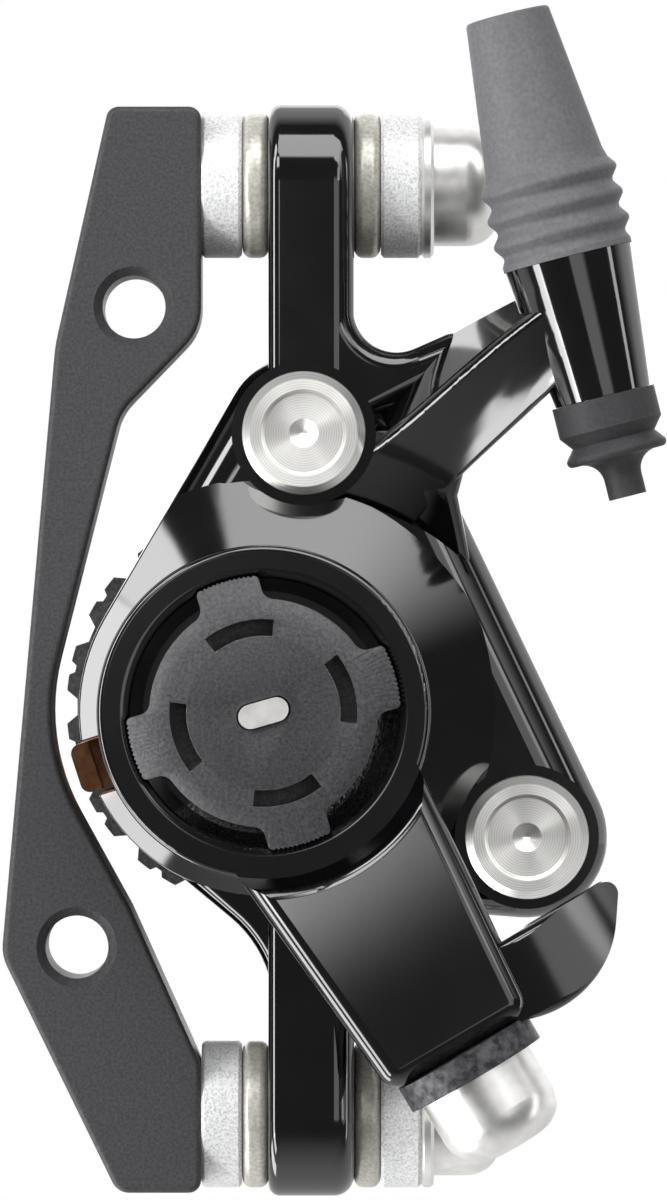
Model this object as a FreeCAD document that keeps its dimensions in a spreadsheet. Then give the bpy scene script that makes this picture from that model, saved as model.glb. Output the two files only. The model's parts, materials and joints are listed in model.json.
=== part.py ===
import FreeCAD, Part
import math
import os
import re
import Sketcher
from FreeCAD import Placement, Rotation, Vector

# Cable-pull disc brake caliper on its two-hole frame bracket, in millimetres.
# +X points away from the wheel hub, +Z up, and -Y outboard, towards the torque arm.
# The origin is midway between the two frame holes, where their walls begin behind the chamfered mouths.

sizes = {
    # Frame bracket
    "frame_hole_spacing": 51.0,
    "frame_hole_tilt": 5.1,
    "frame_hole_dia": 5.0,
    "frame_hole_mouth": 6.4,
    "frame_hole_wall": 10.0,
    "bracket_end": 6.0,
    "bracket_edge": 0.5,
    "seat_x": 7.6,
    "corner_r": 1.0,
    "toe_x": 1.05,
    "bend_x": 7.9,
    "bend_z": 20.5,
    "bend_r": 12.0,
    "heel_x": 2.4,
    "heel_r": 3.5,
    "sole_x": 1.9,
    "sole_r": 1.5,
    "shoulder_r": 4.4,
    "shoulder_z": 25.4,
    "waist_x": 5.2,
    "waist_z": 14.8,
    "waist_r": 4.4,
    "hub_relief_r": 16.9,
    "hip_x": 0.2,
    "hip_z": 23.2,
    "hip_r": 2.0,
    "knee_z": 35.2,
    "knee_r": 2.0,
    # Post bolts and alignment washers
    "post_spacing": 74.2,
    "post_mid_z": -1.8,
    "post_bolt_dia": 6.0,
    "post_engagement": 7.5,
    "post_head_dia": 9.8,
    "post_head_height": 5.4,
    "post_head_round": 2.8,
    "post_socket": 5.0,
    "post_socket_depth": 3.0,
    "thread_clearance": 0.03,
    "washer_dia": 11.7,
    "washer_bore": 7.0,
    "concave_thickness": 3.2,
    "convex_thickness": 2.1,
    "flat_thickness": 1.0,
    "washer_edge": 0.25,
    "convex_round": 0.75,
    "dish_rim_r": 5.1,
    "dish_sphere_r": 11.0,
    "seat_gap": 0.04,
    # Housing ears
    "ear_width": 6.8,
    "ear_round": 6.4,
    "ear_slot_width": 6.8,
    "ear_slot_run": 4.4,
    "ear_edge": 0.9,
    "ear_outer_edge": 1.6,
    "ear_root_z": 12.0,
    "lower_ear_root_z": 14.0,
    # Hub axis, rotor and housing halves
    "hub_x": 12.65,
    "hub_z": -6.65,
    "pad_tilt": 18.0,
    "rotor_reach": 73.0,
    "rotor_room_r": 81.0,
    "rotor_y": 17.0,
    "rotor_slot": 5.0,
    "shell_front": 4.0,
    "shell_back": 28.5,
    "shell_hub_r": 14.75,
    "shell_round": 3.4,
    "upper_bolt_x": 15.75,
    "upper_bolt_z": 15.3,
    "upper_boss_r": 6.4,
    "lower_bolt_x": 33.35,
    "lower_bolt_z": -16.55,
    "lower_boss_r": 6.5,
    "shoulder_boss_x": 22.5,
    "shoulder_boss_z": 9.2,
    "shoulder_boss_r": 5.2,
    "bolt_seat_r": 5.7,
    "bolt_seat_rise": 0.5,
    "tower_front": 7.0,
    "tower_r": 18.4,
    "tower_top_r": 13.0,
    "tower_rim": 3.9,
    "tower_inset": 0.25,
    "notch_width": 4.6,
    "notch_r": 12.6,
    # Body bolts
    "body_bolt_dia": 5.0,
    "body_head_dia": 9.7,
    "body_head_height": 2.6,
    "body_head_edge": 0.6,
    "body_recess_dia": 6.8,
    "body_recess_depth": 1.1,
    "body_recess_draft": 0.3,
    "body_cone_dia": 2.3,
    "body_bolt_end": 26.0,
    # Cable stop
    "cable_y": 11.0,
    "cable_tilt": 14.1,
    "stop_x": 36.46,
    "stop_z": 28.9,
    "stop_length": 11.2,
    "stop_top_dia": 10.2,
    "stop_end_dia": 7.7,
    "stop_spigot_dia": 7.0,
    "stop_spigot": 3.0,
    "outer_bore_dia": 5.1,
    "outer_bore_depth": 9.0,
    "wire_bore_dia": 1.8,
    "strut_root_x": 19.0,
    "strut_root_top": 18.6,
    "strut_root_ridge": 13.2,
    "strut_root_bottom": -1.0,
    "strut_root_front": 5.2,
    "strut_root_low": -1.9,
    "strut_root_back": 7.0,
    "strut_knee_x": 28.0,
    "strut_knee_top": 23.5,
    "strut_knee_ridge": 20.3,
    "strut_knee_bottom": 11.8,
    "strut_knee_front": 10.9,
    "strut_knee_low": 7.4,
    "strut_knee_back": 2.0,
    "strut_neck_x": 32.5,
    "strut_neck_top": 25.8,
    "strut_neck_ridge": 23.9,
    "strut_neck_bottom": 16.0,
    "strut_neck_front": 13.6,
    "strut_neck_low": 11.0,
    "strut_neck_back": 6.4,
    "strut_end_x": 37.3,
    "strut_end_top": 28.0,
    "strut_end_ridge": 26.9,
    "strut_end_bottom": 20.6,
    "strut_end_front": 15.5,
    "strut_end_low": 14.9,
    "strut_end_back": 7.4,
    "strut_edge": 0.8,
    "gusset_sink": 0.05,
    "gusset_width": 3.0,
    "gusset_z": 25.2,
    "gusset_r": 3.4,
    "gusset_top_z": 30.0,
    "gusset_end_x": 27.6,
    "gusset_end_z": 21.6,
    "gusset_root_z": 16.0,
    "gusset_corner": 1.7,
    "gusset_edge": 1.5,
    "gusset_back": 6.0,
    "web_r": 2.2,
    "web_flank_r": 9.4,
    "web_flank_z": 30.3,
    "web_end_z": 33.0,
    "web_front": 1.5,
    "web_back": 12.0,
    "web_edge": 1.2,
    "web_sink": 0.4,
    # Rubber boot and seal
    "boot_length": 19.6,
    "boot_top_dia": 6.7,
    "boot_neck_dia": 9.4,
    "boot_neck": 7.4,
    "boot_crest_dia": 10.9,
    "boot_valley_dia": 9.8,
    "boot_folds": 3,
    "boot_fold_end": 0.6,
    "boot_fold_r": 0.45,
    "boot_base_dia": 10.3,
    "boot_wall": 0.9,
    "seal_band_dia": 8.2,
    "seal_band": 2.4,
    "seal_groove_dia": 6.6,
    "seal_bead_dia": 8.0,
    "seal_bead": 4.4,
    "seal_length": 8.0,
    "seal_hollow_r": 1.6,
    "seal_hollow_drop": 2.0,
    "seal_lip_r": 0.4,
    "seal_nozzle_dia": 3.0,
    "seal_spigot_dia": 5.4,
    "seal_spigot": 2.0,
    # Torque arm
    "arm_back": 7.6,
    "arm_front": 14.6,
    "arm_drop": 59.6,
    "arm_length": 30.75,
    "arm_end_half": 6.6,
    "arm_root_half": 9.1,
    "arm_corner": 1.7,
    "arm_edge": 1.5,
    "arm_hub_r": 13.1,
    "arm_hub_front": 12.2,
    "arm_hub_edge": 0.5,
    "arm_recess_r": 9.5,
    "arm_recess_depth": 2.5,
    "arm_bevel": 1.3,
    "scoop_floor_r": 13.0,
    "scoop_r": 14.7,
    "scoop_edge": 1.0,
    "scoop_rise": 0.15,
    "horn_tip_back": 5.0,
    "horn_tip_v": 15.9,
    "horn_tip_r": 0.95,
    "horn_round_back": 7.55,
    "horn_round_v": 8.6,
    "horn_round_r": 8.4,
    "horn_back": 8.6,
    "horn_front": 14.2,
    "horn_edge": 0.7,
    "horn_dome_r": 19.0,
    "horn_dome_v": 8.7,
    "cable_groove_r": 0.9,
    "anchor_plate_dia": 11.6,
    "anchor_plate": 2.1,
    "anchor_seat_room": 0.25,
    "anchor_head_dia": 9.8,
    "anchor_head": 6.4,
    "anchor_head_round": 3.0,
    "anchor_bolt_dia": 4.0,
    "anchor_engagement": 8.0,
    "anchor_socket": 4.0,
    # Ball ramp drive
    "drive_hex": 9.6,
    "shaft_r": 6.0,
    "running_clearance": 0.06,
    "key_clearance": 0.03,
    "cavity_front": 2.5,
    "cavity_r": 10.5,
    "thrust_thickness": 1.0,
    "thrust_r": 10.2,
    "stack_gap": 0.05,
    "cam_thickness": 3.4,
    "ball_count": 3,
    "ball_r": 1.6,
    "ball_circle_r": 7.8,
    "ball_y": 3.0,
    "race_clearance": 0.15,
    "race_lip": 1.0,
    "cage_thickness": 1.2,
    "cage_inner_r": 6.3,
    "cage_outer_r": 9.7,
    "plate_thickness": 3.0,
    "spindle_room_r": 2.6,
    "spring_wire": 1.2,
    "spring_r": 9.8,
    "spring_pitch": 1.35,
    "spring_turns": 1.0,
    "spring_room": 0.35,
    # Outboard adjuster
    "knob_turn": 16.0,
    "knob_back": 12.5,
    "knob_front": 16.1,
    "knob_r": 8.9,
    "knob_lobe_r": 10.7,
    "knob_lobe_width": 5.0,
    "knob_edge": 0.5,
    "knob_disc_r": 7.4,
    "knob_slope": 1.2,
    "knob_skirt_r": 8.9,
    "knob_skirt": 2.2,
    "knob_slot_r": 6.65,
    "knob_slot_width": 1.3,
    "knob_slot_span": 45.0,
    "knob_slot_depth": 2.0,
    "spindle_length": 4.0,
    "spindle_width": 1.9,
    "spindle_front": 16.7,
    "spindle_end": 6.5,
    "foot_screw_r": 4.0,
    "foot_screw_front": 2.2,
    "foot_r": 7.5,
    "foot_thickness": 2.4,
    # Pads
    "pad_gap": 4.4,
    "lining_thickness": 2.4,
    "backing_thickness": 1.6,
    "pad_half": 9.6,
    "pad_outer": 6.8,
    "pad_inner": 8.6,
    "pad_corner": 3.0,
    "lining_margin": 0.9,
    "pad_clearance": 0.3,
    "tab_width": 4.0,
    "tab_reach": 16.0,
    "tab_fold": 1.6,
    "tab_corner": 0.8,
    "spreader_thickness": 0.4,
    "spreader_half": 4.0,
    "spreader_leg": 2.2,
    "spreader_gap": 0.5,
    # Inboard adjuster
    "inboard_foot": 1.9,
    "inboard_screw_r": 5.0,
    "dial_front": 29.0,
    "dial_back": 34.0,
    "dial_r": 16.5,
    "dial_lobes": 16,
    "dial_gap": 2.2,
    "dial_gap_depth": 0.9,
    "dial_floor_share": 0.6,
    "dial_notch": 0.9,
    "dial_notch_depth": 0.45,
    "dial_dish_r": 11.5,
    "dial_dish": 2.0,
    "detent_inner_r": 8.6,
    "detent_outer_r": 10.6,
    "detent_thickness": 0.4,
}

doc = FreeCAD.newDocument("disc_brake_caliper")
sheet = doc.addObject("Spreadsheet::Sheet", "Sizes")
for row, (alias, number) in enumerate(sizes.items(), 1):
    sheet.set(f"A{row}", alias)
    sheet.set(f"B{row}", str(number))
    sheet.setAlias(f"B{row}", alias)
doc.recompute()

# Directions that a primitive's own Z axis is turned to
along_x = Rotation(Vector(0, 1, 0), 90)
along_y = Rotation(Vector(1, 0, 0), -90)
outboard = Rotation(Vector(1, 0, 0), 90)


def cells(text):
    """The formula with each size's name written as its spreadsheet cell."""
    def named(found):
        word = found.group()
        return f"Sizes.{word}" if word in sizes else word
    return re.sub(r"[a-z][a-z0-9_]*", named, str(text))


def value(text):
    return float(sheet.evalExpression(cells(text)))


def bind(item, **formulas):
    for name, text in formulas.items():
        item.setExpression(name.replace("__", "."), cells(text))


def place(item, at, turned=None, axis=None, angle=None):
    """Puts an object at a point, turned by a fixed rotation or by a bound angle about an axis."""
    if axis is not None:
        turned = Rotation(axis, value(angle))
    item.Placement = Placement(Vector(), turned or Rotation())
    bind(item, Placement__Base__x=at[0], Placement__Base__y=at[1], Placement__Base__z=at[2])
    if axis is not None:
        bind(item, Placement__Rotation__Angle=angle)
    return item


def rod(name, radius, length, at, turned=along_y):
    item = doc.addObject("Part::Cylinder", name)
    bind(item, Radius=radius, Height=length)
    return place(item, at, turned)


def cone(name, first_radius, last_radius, length, at, turned=along_y):
    item = doc.addObject("Part::Cone", name)
    bind(item, Radius1=first_radius, Radius2=last_radius, Height=length)
    return place(item, at, turned)


def sphere(name, radius, at, turned=None):
    item = doc.addObject("Part::Sphere", name)
    bind(item, Radius=radius)
    return place(item, at, turned)


def torus(name, ring_radius, tube_radius, at, turned=along_y):
    item = doc.addObject("Part::Torus", name)
    bind(item, Radius1=ring_radius, Radius2=tube_radius)
    return place(item, at, turned)


def prism(name, across_flats, length, at, turned):
    item = doc.addObject("Part::Prism", name)
    item.Polygon = 6
    bind(item, Circumradius=f"({across_flats}) / 2 / cos(30)", Height=length)
    return place(item, at, turned)


def fuse(name, items):
    item = doc.addObject("Part::MultiFuse", name)
    item.Shapes = items
    item.Refine = True
    return item


def cut(name, base, tools):
    item = doc.addObject("Part::Cut", name)
    item.Base = base
    item.Tool = tools[0] if len(tools) == 1 else fuse(f"{name}_tools", tools)
    item.Refine = True
    return item


def common(name, first, second):
    item = doc.addObject("Part::Common", name)
    item.Base = first
    item.Tool = second
    return item


def pin_point(sketch, shape, point, x, y):
    """Ties one point of a sketch to its two coordinates."""
    for kind, text, axis in (("DistanceX", x, -2), ("DistanceY", y, -1)):
        if str(text) == "0":
            sketch.addConstraint(Sketcher.Constraint("PointOnObject", shape, point, axis))
            continue
        made = sketch.addConstraint(Sketcher.Constraint(kind, -1, 1, shape, point, value(text)))
        sketch.renameConstraint(made, f"{kind.lower()}_{shape}_{point}")
        bind(sketch, **{f"Constraints__{kind.lower()}_{shape}_{point}": text})


def outline(sketch, corners):
    """A closed outline of straight runs tangent to corner circles, walked anticlockwise.

    Each corner is its circle's centre and radius. A radius with a minus sign bends the other way,
    and a radius of 0 is a sharp corner.
    """
    centres = [Vector(value(x), value(y), 0) for x, y, _ in corners]
    radii = [value(radius) for _, _, radius in corners]
    runs = []
    for here in range(len(corners)):
        there = (here + 1) % len(corners)
        reach = centres[there] - centres[here]
        lean = math.asin((radii[there] - radii[here]) / reach.Length)
        heading = math.atan2(reach.y, reach.x) - lean
        left = Vector(-math.sin(heading), math.cos(heading), 0)
        runs.append((centres[here] - left * radii[here], centres[there] - left * radii[there]))
    lines = [sketch.addGeometry(Part.LineSegment(*run)) for run in runs]
    for here, (x, y, radius) in enumerate(corners):
        before, after = lines[here - 1], lines[here]
        if radii[here] == 0:
            sketch.addConstraint(Sketcher.Constraint("Coincident", before, 2, after, 1))
            pin_point(sketch, after, 1, x, y)
            continue
        ends = [runs[here - 1][1], runs[here][0]]
        enters, leaves = 1, 2
        if radii[here] < 0:
            ends.reverse()
            enters, leaves = 2, 1
        first, last = [math.atan2(end.y - centres[here].y, end.x - centres[here].x) for end in ends]
        if last <= first:
            last += 2 * math.pi
        circle = Part.Circle(centres[here], Vector(0, 0, 1), abs(radii[here]))
        arc = sketch.addGeometry(Part.ArcOfCircle(circle, first, last))
        sketch.addConstraint(Sketcher.Constraint("Tangent", before, 2, arc, enters))
        sketch.addConstraint(Sketcher.Constraint("Tangent", arc, leaves, after, 1))
        made = sketch.addConstraint(Sketcher.Constraint("Radius", arc, abs(radii[here])))
        sketch.renameConstraint(made, f"radius_{arc}")
        bind(sketch, **{f"Constraints__radius_{arc}": f"abs({radius})"})
        pin_point(sketch, arc, 3, x, y)


def sketch_on(body, role, offset):
    plane = next(item for item in body.Origin.OriginFeatures if item.Role == role)
    sketch = body.newObject("Sketcher::SketchObject", f"{body.Name}_sketch")
    sketch.AttachmentSupport = (plane, [""])
    sketch.MapMode = "FlatFace"
    bind(sketch, AttachmentOffset__Base__z=offset)
    return sketch


def rim(feature, axis, at):
    """The names of the feature's edges that lie in the plane across an axis at a place."""
    found = []
    for number, edge in enumerate(feature.Shape.Edges, 1):
        box = edge.BoundBox
        low, high = {"x": (box.XMin, box.XMax), "y": (box.YMin, box.YMax)}[axis]
        if abs(low - at) < 1e-4 and abs(high - at) < 1e-4:
            found.append(f"Edge{number}")
    return found


def rounded(body, feature, axis, at, radius):
    doc.recompute()
    fillet = body.newObject("PartDesign::Fillet", f"{body.Name}_round")
    fillet.Base = (feature, rim(feature, axis, value(at)))
    bind(fillet, Radius=radius)
    doc.recompute()
    return fillet


def plate(name, corners, front, back, front_round=None, back_round=None):
    """A plate whose outline lies across Y, between two depths, with its rims rounded."""
    body = doc.addObject("PartDesign::Body", name)
    sketch = sketch_on(body, "XZ_Plane", f"-({back})")
    outline(sketch, corners)
    last = body.newObject("PartDesign::Pad", f"{name}_pad")
    last.Profile = sketch
    bind(last, Length=f"({back}) - ({front})")
    if front_round is not None:
        last = rounded(body, last, "y", front, front_round)
    if back_round is not None:
        rounded(body, last, "y", back, back_round)
    return body


def slab(name, corners, start, end, start_round=None, end_round=None):
    """A plate whose outline lies across X, given as Y and Z, with its rims rounded."""
    body = doc.addObject("PartDesign::Body", name)
    sketch = sketch_on(body, "YZ_Plane", start)
    outline(sketch, corners)
    last = body.newObject("PartDesign::Pad", f"{name}_pad")
    last.Profile = sketch
    bind(last, Length=f"({end}) - ({start})")
    if start_round is not None:
        last = rounded(body, last, "x", start, start_round)
    if end_round is not None:
        rounded(body, last, "x", end, end_round)
    return body


def turned(name, corners):
    """A turned piece, its half profile given as radius and height, about its own Z axis."""
    body = doc.addObject("PartDesign::Body", name)
    sketch = sketch_on(body, "XZ_Plane", 0)
    outline(sketch, corners)
    spin = body.newObject("PartDesign::Revolution", f"{name}_spin")
    spin.Profile = sketch
    spin.ReferenceAxis = (sketch, ["V_Axis"])
    spin.Angle = 360
    return body


# Places worked out from the sizes
upper_post_z = "(post_mid_z + post_spacing / 2)"
lower_post_z = "(post_mid_z - post_spacing / 2)"
post_y = "(frame_hole_wall / 2)"
mouth = "((frame_hole_mouth - frame_hole_dia) / 2)"
upper_hole = ("frame_hole_spacing / 2 * sin(frame_hole_tilt)", "frame_hole_spacing / 2 * cos(frame_hole_tilt)")
lower_hole = (f"-{upper_hole[0]}", f"-{upper_hole[1]}")
inner_dish_x = "(seat_x + concave_thickness)"
ear_x = f"({inner_dish_x} + seat_gap + convex_thickness)"
ear_end_x = f"({ear_x} + ear_width)"
outer_dish_x = f"({ear_end_x} + convex_thickness + seat_gap)"
flat_x = f"({outer_dish_x} + concave_thickness)"
head_x = f"({flat_x} + flat_thickness)"
slot_front = "(rotor_y - rotor_slot / 2)"
slot_back = "(rotor_y + rotor_slot / 2)"
lining_front = "(rotor_y - pad_gap / 2 - lining_thickness)"
backing_front = f"({lining_front} - backing_thickness)"
lining_back = "(rotor_y + pad_gap / 2 + lining_thickness)"
backing_back = f"({lining_back} + backing_thickness)"
body_seat = "-(shell_front + bolt_seat_rise)"
cam_front = "(-cavity_front + stack_gap + thrust_thickness + stack_gap)"
cam_back = f"({cam_front} + cam_thickness)"
plate_front = "(ball_y + race_lip)"
plate_back = f"({plate_front} + plate_thickness)"
foot_front = f"({backing_front} - stack_gap - foot_thickness)"
on_hub = ("hub_x", "0", "hub_z")
nodes = {}


def node(name, item):
    """Keeps a finished sub-part under the name that its file gets."""
    item.Label = name
    nodes[name] = item
    return item


def hub_rod(name, radius, front, back):
    return rod(name, radius, f"({back}) - ({front})", ("hub_x", front, "hub_z"))


def mounting_bracket():
    body = plate(
        "bracket_plate",
        [
            ("toe_x", f"{upper_post_z} + bracket_end - corner_r", "corner_r"),
            ("bend_x", "bend_z", "bend_r"),
            (f"{lower_hole[0]} - heel_x", lower_hole[1], "heel_r"),
            ("sole_x", f"{lower_post_z} - bracket_end + sole_r", "sole_r"),
            ("seat_x - corner_r", f"{lower_post_z} - bracket_end + corner_r", "corner_r"),
            ("seat_x - knee_r", "-knee_z", "knee_r"),
            ("hip_x", "-hip_z", "hip_r"),
            ("hub_x", "hub_z", "-hub_relief_r"),
            ("waist_x", "waist_z", "-waist_r"),
            ("seat_x - shoulder_r", "shoulder_z", "shoulder_r"),
            ("seat_x - corner_r", f"{upper_post_z} + bracket_end - corner_r", "corner_r"),
        ],
        f"-{mouth}",
        f"frame_hole_wall + {mouth}",
        "bracket_edge",
        "bracket_edge",
    )
    holes = []
    for side, (x, z) in (("upper", upper_hole), ("lower", lower_hole)):
        wide, narrow = "frame_hole_mouth / 2", "frame_hole_dia / 2"
        holes.append(rod(f"{side}_frame_hole", narrow, "frame_hole_wall", (x, "0", z)))
        holes.append(cone(f"{side}_front_mouth", wide, narrow, mouth, (x, f"-{mouth}", z)))
        holes.append(cone(f"{side}_back_mouth", narrow, wide, mouth, (x, "frame_hole_wall", z)))
    for side, z in (("upper", upper_post_z), ("lower", lower_post_z)):
        radius = "post_bolt_dia / 2 + thread_clearance"
        depth = "post_engagement + 2 * thread_clearance"
        holes.append(rod(f"{side}_post_hole", radius, depth, (f"seat_x - ({depth})", post_y, z), along_x))
    node("mounting_bracket", cut("bracket", body, holes))


def rim_disc(name, thickness, at, rounded_rim):
    """A washer's blank, turned about X, with its rim rounded or its two edges broken."""
    if rounded_rim:
        centre = "washer_dia / 2 - convex_round"
        edge = [(centre, "convex_round", "convex_round"), (centre, f"{thickness} - convex_round", "convex_round")]
    else:
        edge = [
            ("washer_dia / 2 - washer_edge", "0", "0"),
            ("washer_dia / 2", "washer_edge", "0"),
            ("washer_dia / 2", f"{thickness} - washer_edge", "0"),
            ("washer_dia / 2 - washer_edge", thickness, "0"),
        ]
    return place(turned(name, [("0", "0", "0"), *edge, ("0", thickness, "0")]), at, along_x)


def alignment_washers(side, z):
    """The two dished pairs and the flat washer on one post bolt."""
    dish = "sqrt(dish_sphere_r ^ 2 - dish_rim_r ^ 2)"
    for where, face, way in (("inner", inner_dish_x, 1), ("outer", outer_dish_x, -1)):
        name = f"{side}_{where}"
        centre = (f"{face} + {way} * {dish}", post_y, z)
        concave_start = face if way < 0 else f"{face} - concave_thickness"
        convex_face = f"{face} + {way} * seat_gap"
        convex_start = convex_face if way > 0 else f"{convex_face} - convex_thickness"
        ring = rim_disc(f"{name}_ring", "concave_thickness", (concave_start, post_y, z), False)
        bore = rod(f"{name}_ring_bore", "washer_bore / 2", "concave_thickness", (concave_start, post_y, z), along_x)
        bowl = sphere(f"{name}_bowl", "dish_sphere_r", centre, along_x)
        node(f"{name}_concave_washer", cut(f"{name}_concave", ring, [bore, bowl]))
        disc = rim_disc(f"{name}_disc", "convex_thickness", (convex_start, post_y, z), True)
        reach = f"(dish_sphere_r - {dish})"
        dome_start = f"{convex_face} - {reach}" if way > 0 else f"{convex_face} - convex_thickness / 2"
        dome_length = f"{reach} + convex_thickness / 2"
        stem = rod(f"{name}_stem", "dish_rim_r - 2 * seat_gap", dome_length, (dome_start, post_y, z), along_x)
        ball = sphere(f"{name}_ball", "dish_sphere_r - seat_gap", centre, along_x)
        crown = common(f"{name}_crown", stem, ball)
        hole_start = f"{convex_start} - {reach}"
        hole_length = f"convex_thickness + 2 * ({reach})"
        hole = rod(f"{name}_disc_bore", "washer_bore / 2", hole_length, (hole_start, post_y, z), along_x)
        node(f"{name}_convex_washer", cut(f"{name}_convex", fuse(f"{name}_domed", [disc, crown]), [hole]))
    flat = rim_disc(f"{side}_flat", "flat_thickness", (flat_x, post_y, z), False)
    flat_bore = rod(f"{side}_flat_bore", "washer_bore / 2", "flat_thickness", (flat_x, post_y, z), along_x)
    node(f"{side}_flat_washer", cut(f"{side}_flat_ring", flat, [flat_bore]))


def socket_bolt(name, shank_dia, shank_length, head_dia, head_height, head_round, socket, socket_depth):
    """A bolt with a domed head and a hexagon socket, its head's seat at height 0."""
    body = turned(
        f"{name}_blank",
        [
            ("0", f"-({shank_length})", "0"),
            (f"{shank_dia} / 2", f"-({shank_length})", "0"),
            (f"{shank_dia} / 2", "0", "0"),
            (f"{head_dia} / 2", "0", "0"),
            (f"{head_dia} / 2 - {head_round}", f"{head_height} - {head_round}", head_round),
            ("0", head_height, "0"),
        ],
    )
    key = prism(f"{name}_socket", socket, socket_depth, ("0", "0", f"{head_height} - {socket_depth}"), None)
    return cut(name, body, [key])


def post_bolts():
    for side, z in (("upper", upper_post_z), ("lower", lower_post_z)):
        bolt = socket_bolt(
            f"{side}_post_bolt",
            "post_bolt_dia",
            f"{head_x} - seat_x + post_engagement",
            "post_head_dia",
            "post_head_height",
            "post_head_round",
            "post_socket",
            "post_socket_depth",
        )
        place(bolt, (head_x, post_y, z), along_x)
        node(f"{side}_mounting_bolt", bolt)
        alignment_washers(side, z)


def shell_corners(inset="0"):
    """The casting's plan: the hub and the two bolt bosses, with the cable stop's shoulder between."""
    return [
        ("hub_x", "hub_z", f"shell_hub_r - {inset}"),
        ("lower_bolt_x", "lower_bolt_z", f"lower_boss_r - {inset}"),
        ("shoulder_boss_x", "shoulder_boss_z", f"shoulder_boss_r - {inset}"),
        ("upper_bolt_x", "upper_bolt_z", f"upper_boss_r - {inset}"),
    ]


def tower():
    """The sloping dome under the torque arm, kept inside the casting's plan."""
    dome = turned(
        "hub_dome",
        [
            ("0", "0", "0"),
            ("tower_r", "0", "0"),
            ("tower_r", "tower_rim", "0"),
            ("tower_top_r", "tower_front", "0"),
            ("0", "tower_front", "0"),
        ],
    )
    place(dome, on_hub, outboard)
    limit = plate("dome_limit", shell_corners("tower_inset"), "-tower_front", "rotor_y / 2")
    return common("tower", dome, limit)


def ear(side, z, root_z):
    """A slotted ear: a stadium about the post bolt that runs down into the shell."""
    front = f"{post_y} - ear_slot_run / 2"
    back = f"{post_y} + ear_slot_run / 2"
    if side == "upper":
        corners = [
            (front, root_z, "ear_round"),
            (back, root_z, "ear_round"),
            (back, z, "ear_round"),
            (front, z, "ear_round"),
        ]
    else:
        corners = [
            (front, z, "ear_round"),
            (back, z, "ear_round"),
            (back, root_z, "ear_round"),
            (front, root_z, "ear_round"),
        ]
    return slab(f"{side}_ear", corners, ear_x, ear_end_x, "ear_edge", "ear_outer_edge")


def ear_slot(side, z):
    front = f"{post_y} - ear_slot_run / 2"
    back = f"{post_y} + ear_slot_run / 2"
    ends = [(front, z, "ear_slot_width / 2"), (back, z, "ear_slot_width / 2")]
    return slab(f"{side}_ear_slot", ends, ear_x, ear_end_x)


def strut():
    """The web from the shell out to the cable stop, with a ridge along the top of its leaning front."""
    body = doc.addObject("PartDesign::Body", "stop_strut")
    sketches = []
    for where in ("root", "knee", "neck", "end"):
        back = "strut_root_back" if where == "root" else f"-strut_{where}_back"
        front_y = f"-strut_{where}_front + strut_edge"
        low_y = f"-strut_{where}_low + strut_edge"
        back_y = f"{back} - strut_edge"
        low_z = f"strut_{where}_bottom + strut_edge"
        sketch = sketch_on(body, "YZ_Plane", f"strut_{where}_x")
        outline(
            sketch,
            [
                (low_y, low_z, "strut_edge"),
                (back_y, low_z, "strut_edge"),
                (back_y, f"strut_{where}_top - strut_edge", "strut_edge"),
                (front_y, f"strut_{where}_ridge - strut_edge", "strut_edge"),
            ],
        )
        sketches.append(sketch)
    loft = body.newObject("PartDesign::AdditiveLoft", "strut_loft")
    loft.Profile = sketches[0]
    loft.Sections = sketches[1:]
    return body


def ear_blends():
    """The webs that carry the ears into the shell: a hollow corner above, a hollow flank below."""
    side_x = f"{ear_end_x} - gusset_sink"
    gusset = plate(
        "ear_gusset",
        [
            (f"{side_x} - gusset_width", "gusset_root_z", "gusset_corner"),
            ("gusset_end_x", "gusset_end_z", "gusset_corner"),
            (f"{side_x} + gusset_r", "gusset_z", "-gusset_r"),
            (f"{side_x} - gusset_corner", "gusset_top_z", "gusset_corner"),
            (f"{side_x} - gusset_width", "gusset_top_z", "gusset_corner"),
        ],
        f"{post_y} - ear_slot_run / 2 - ear_round + gusset_sink",
        "gusset_back",
        "gusset_edge",
    )
    web = plate(
        "ear_web",
        [
            ("hub_x", "hub_z", "shell_hub_r - web_sink"),
            (f"{ear_x} + web_sink - web_flank_r", "-web_flank_z", "-web_flank_r"),
            (f"{ear_x} + web_r + web_sink", "-web_end_z", "web_r"),
            (f"{ear_end_x} - web_r - web_sink", "-web_end_z", "web_r"),
        ],
        "-web_front",
        "web_back",
        "web_edge",
        "web_edge",
    )
    return [gusset, web]


def on_cable(item, along):
    """Puts a piece on the cable's line, a distance above the top of the stop."""
    at = (f"stop_x - ({along}) * sin(cable_tilt)", "-cable_y", f"stop_z + ({along}) * cos(cable_tilt)")
    return place(item, at, axis=Vector(0, -1, 0), angle="cable_tilt")


def cable_stop():
    return on_cable(
        turned(
            "cable_stop",
            [
                ("0", "-stop_length - seal_spigot", "0"),
                ("seal_spigot_dia / 2", "-stop_length - seal_spigot", "0"),
                ("seal_spigot_dia / 2", "-stop_length", "0"),
                ("stop_end_dia / 2", "-stop_length", "0"),
                ("stop_top_dia / 2", "0", "0"),
                ("stop_spigot_dia / 2", "0", "0"),
                ("stop_spigot_dia / 2", "stop_spigot", "0"),
                ("0", "stop_spigot", "0"),
            ],
        ),
        "0",
    )


def pad_outline(margin, outer_margin):
    """A pad's outline, +X towards the rotor's rim, set in from the backing plate's edges."""
    corner = "pad_corner"
    inner = f"-pad_inner + ({margin}) + {corner}"
    outer = f"pad_outer - ({outer_margin}) - {corner}"
    side = f"pad_half - ({margin}) - {corner}"
    return [
        (inner, f"-({side})", corner),
        (outer, f"-({side})", corner),
        (outer, side, corner),
        (inner, side, corner),
    ]


def on_pad_axis(item):
    return place(item, on_hub, axis=Vector(0, -1, 0), angle="pad_tilt")


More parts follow.
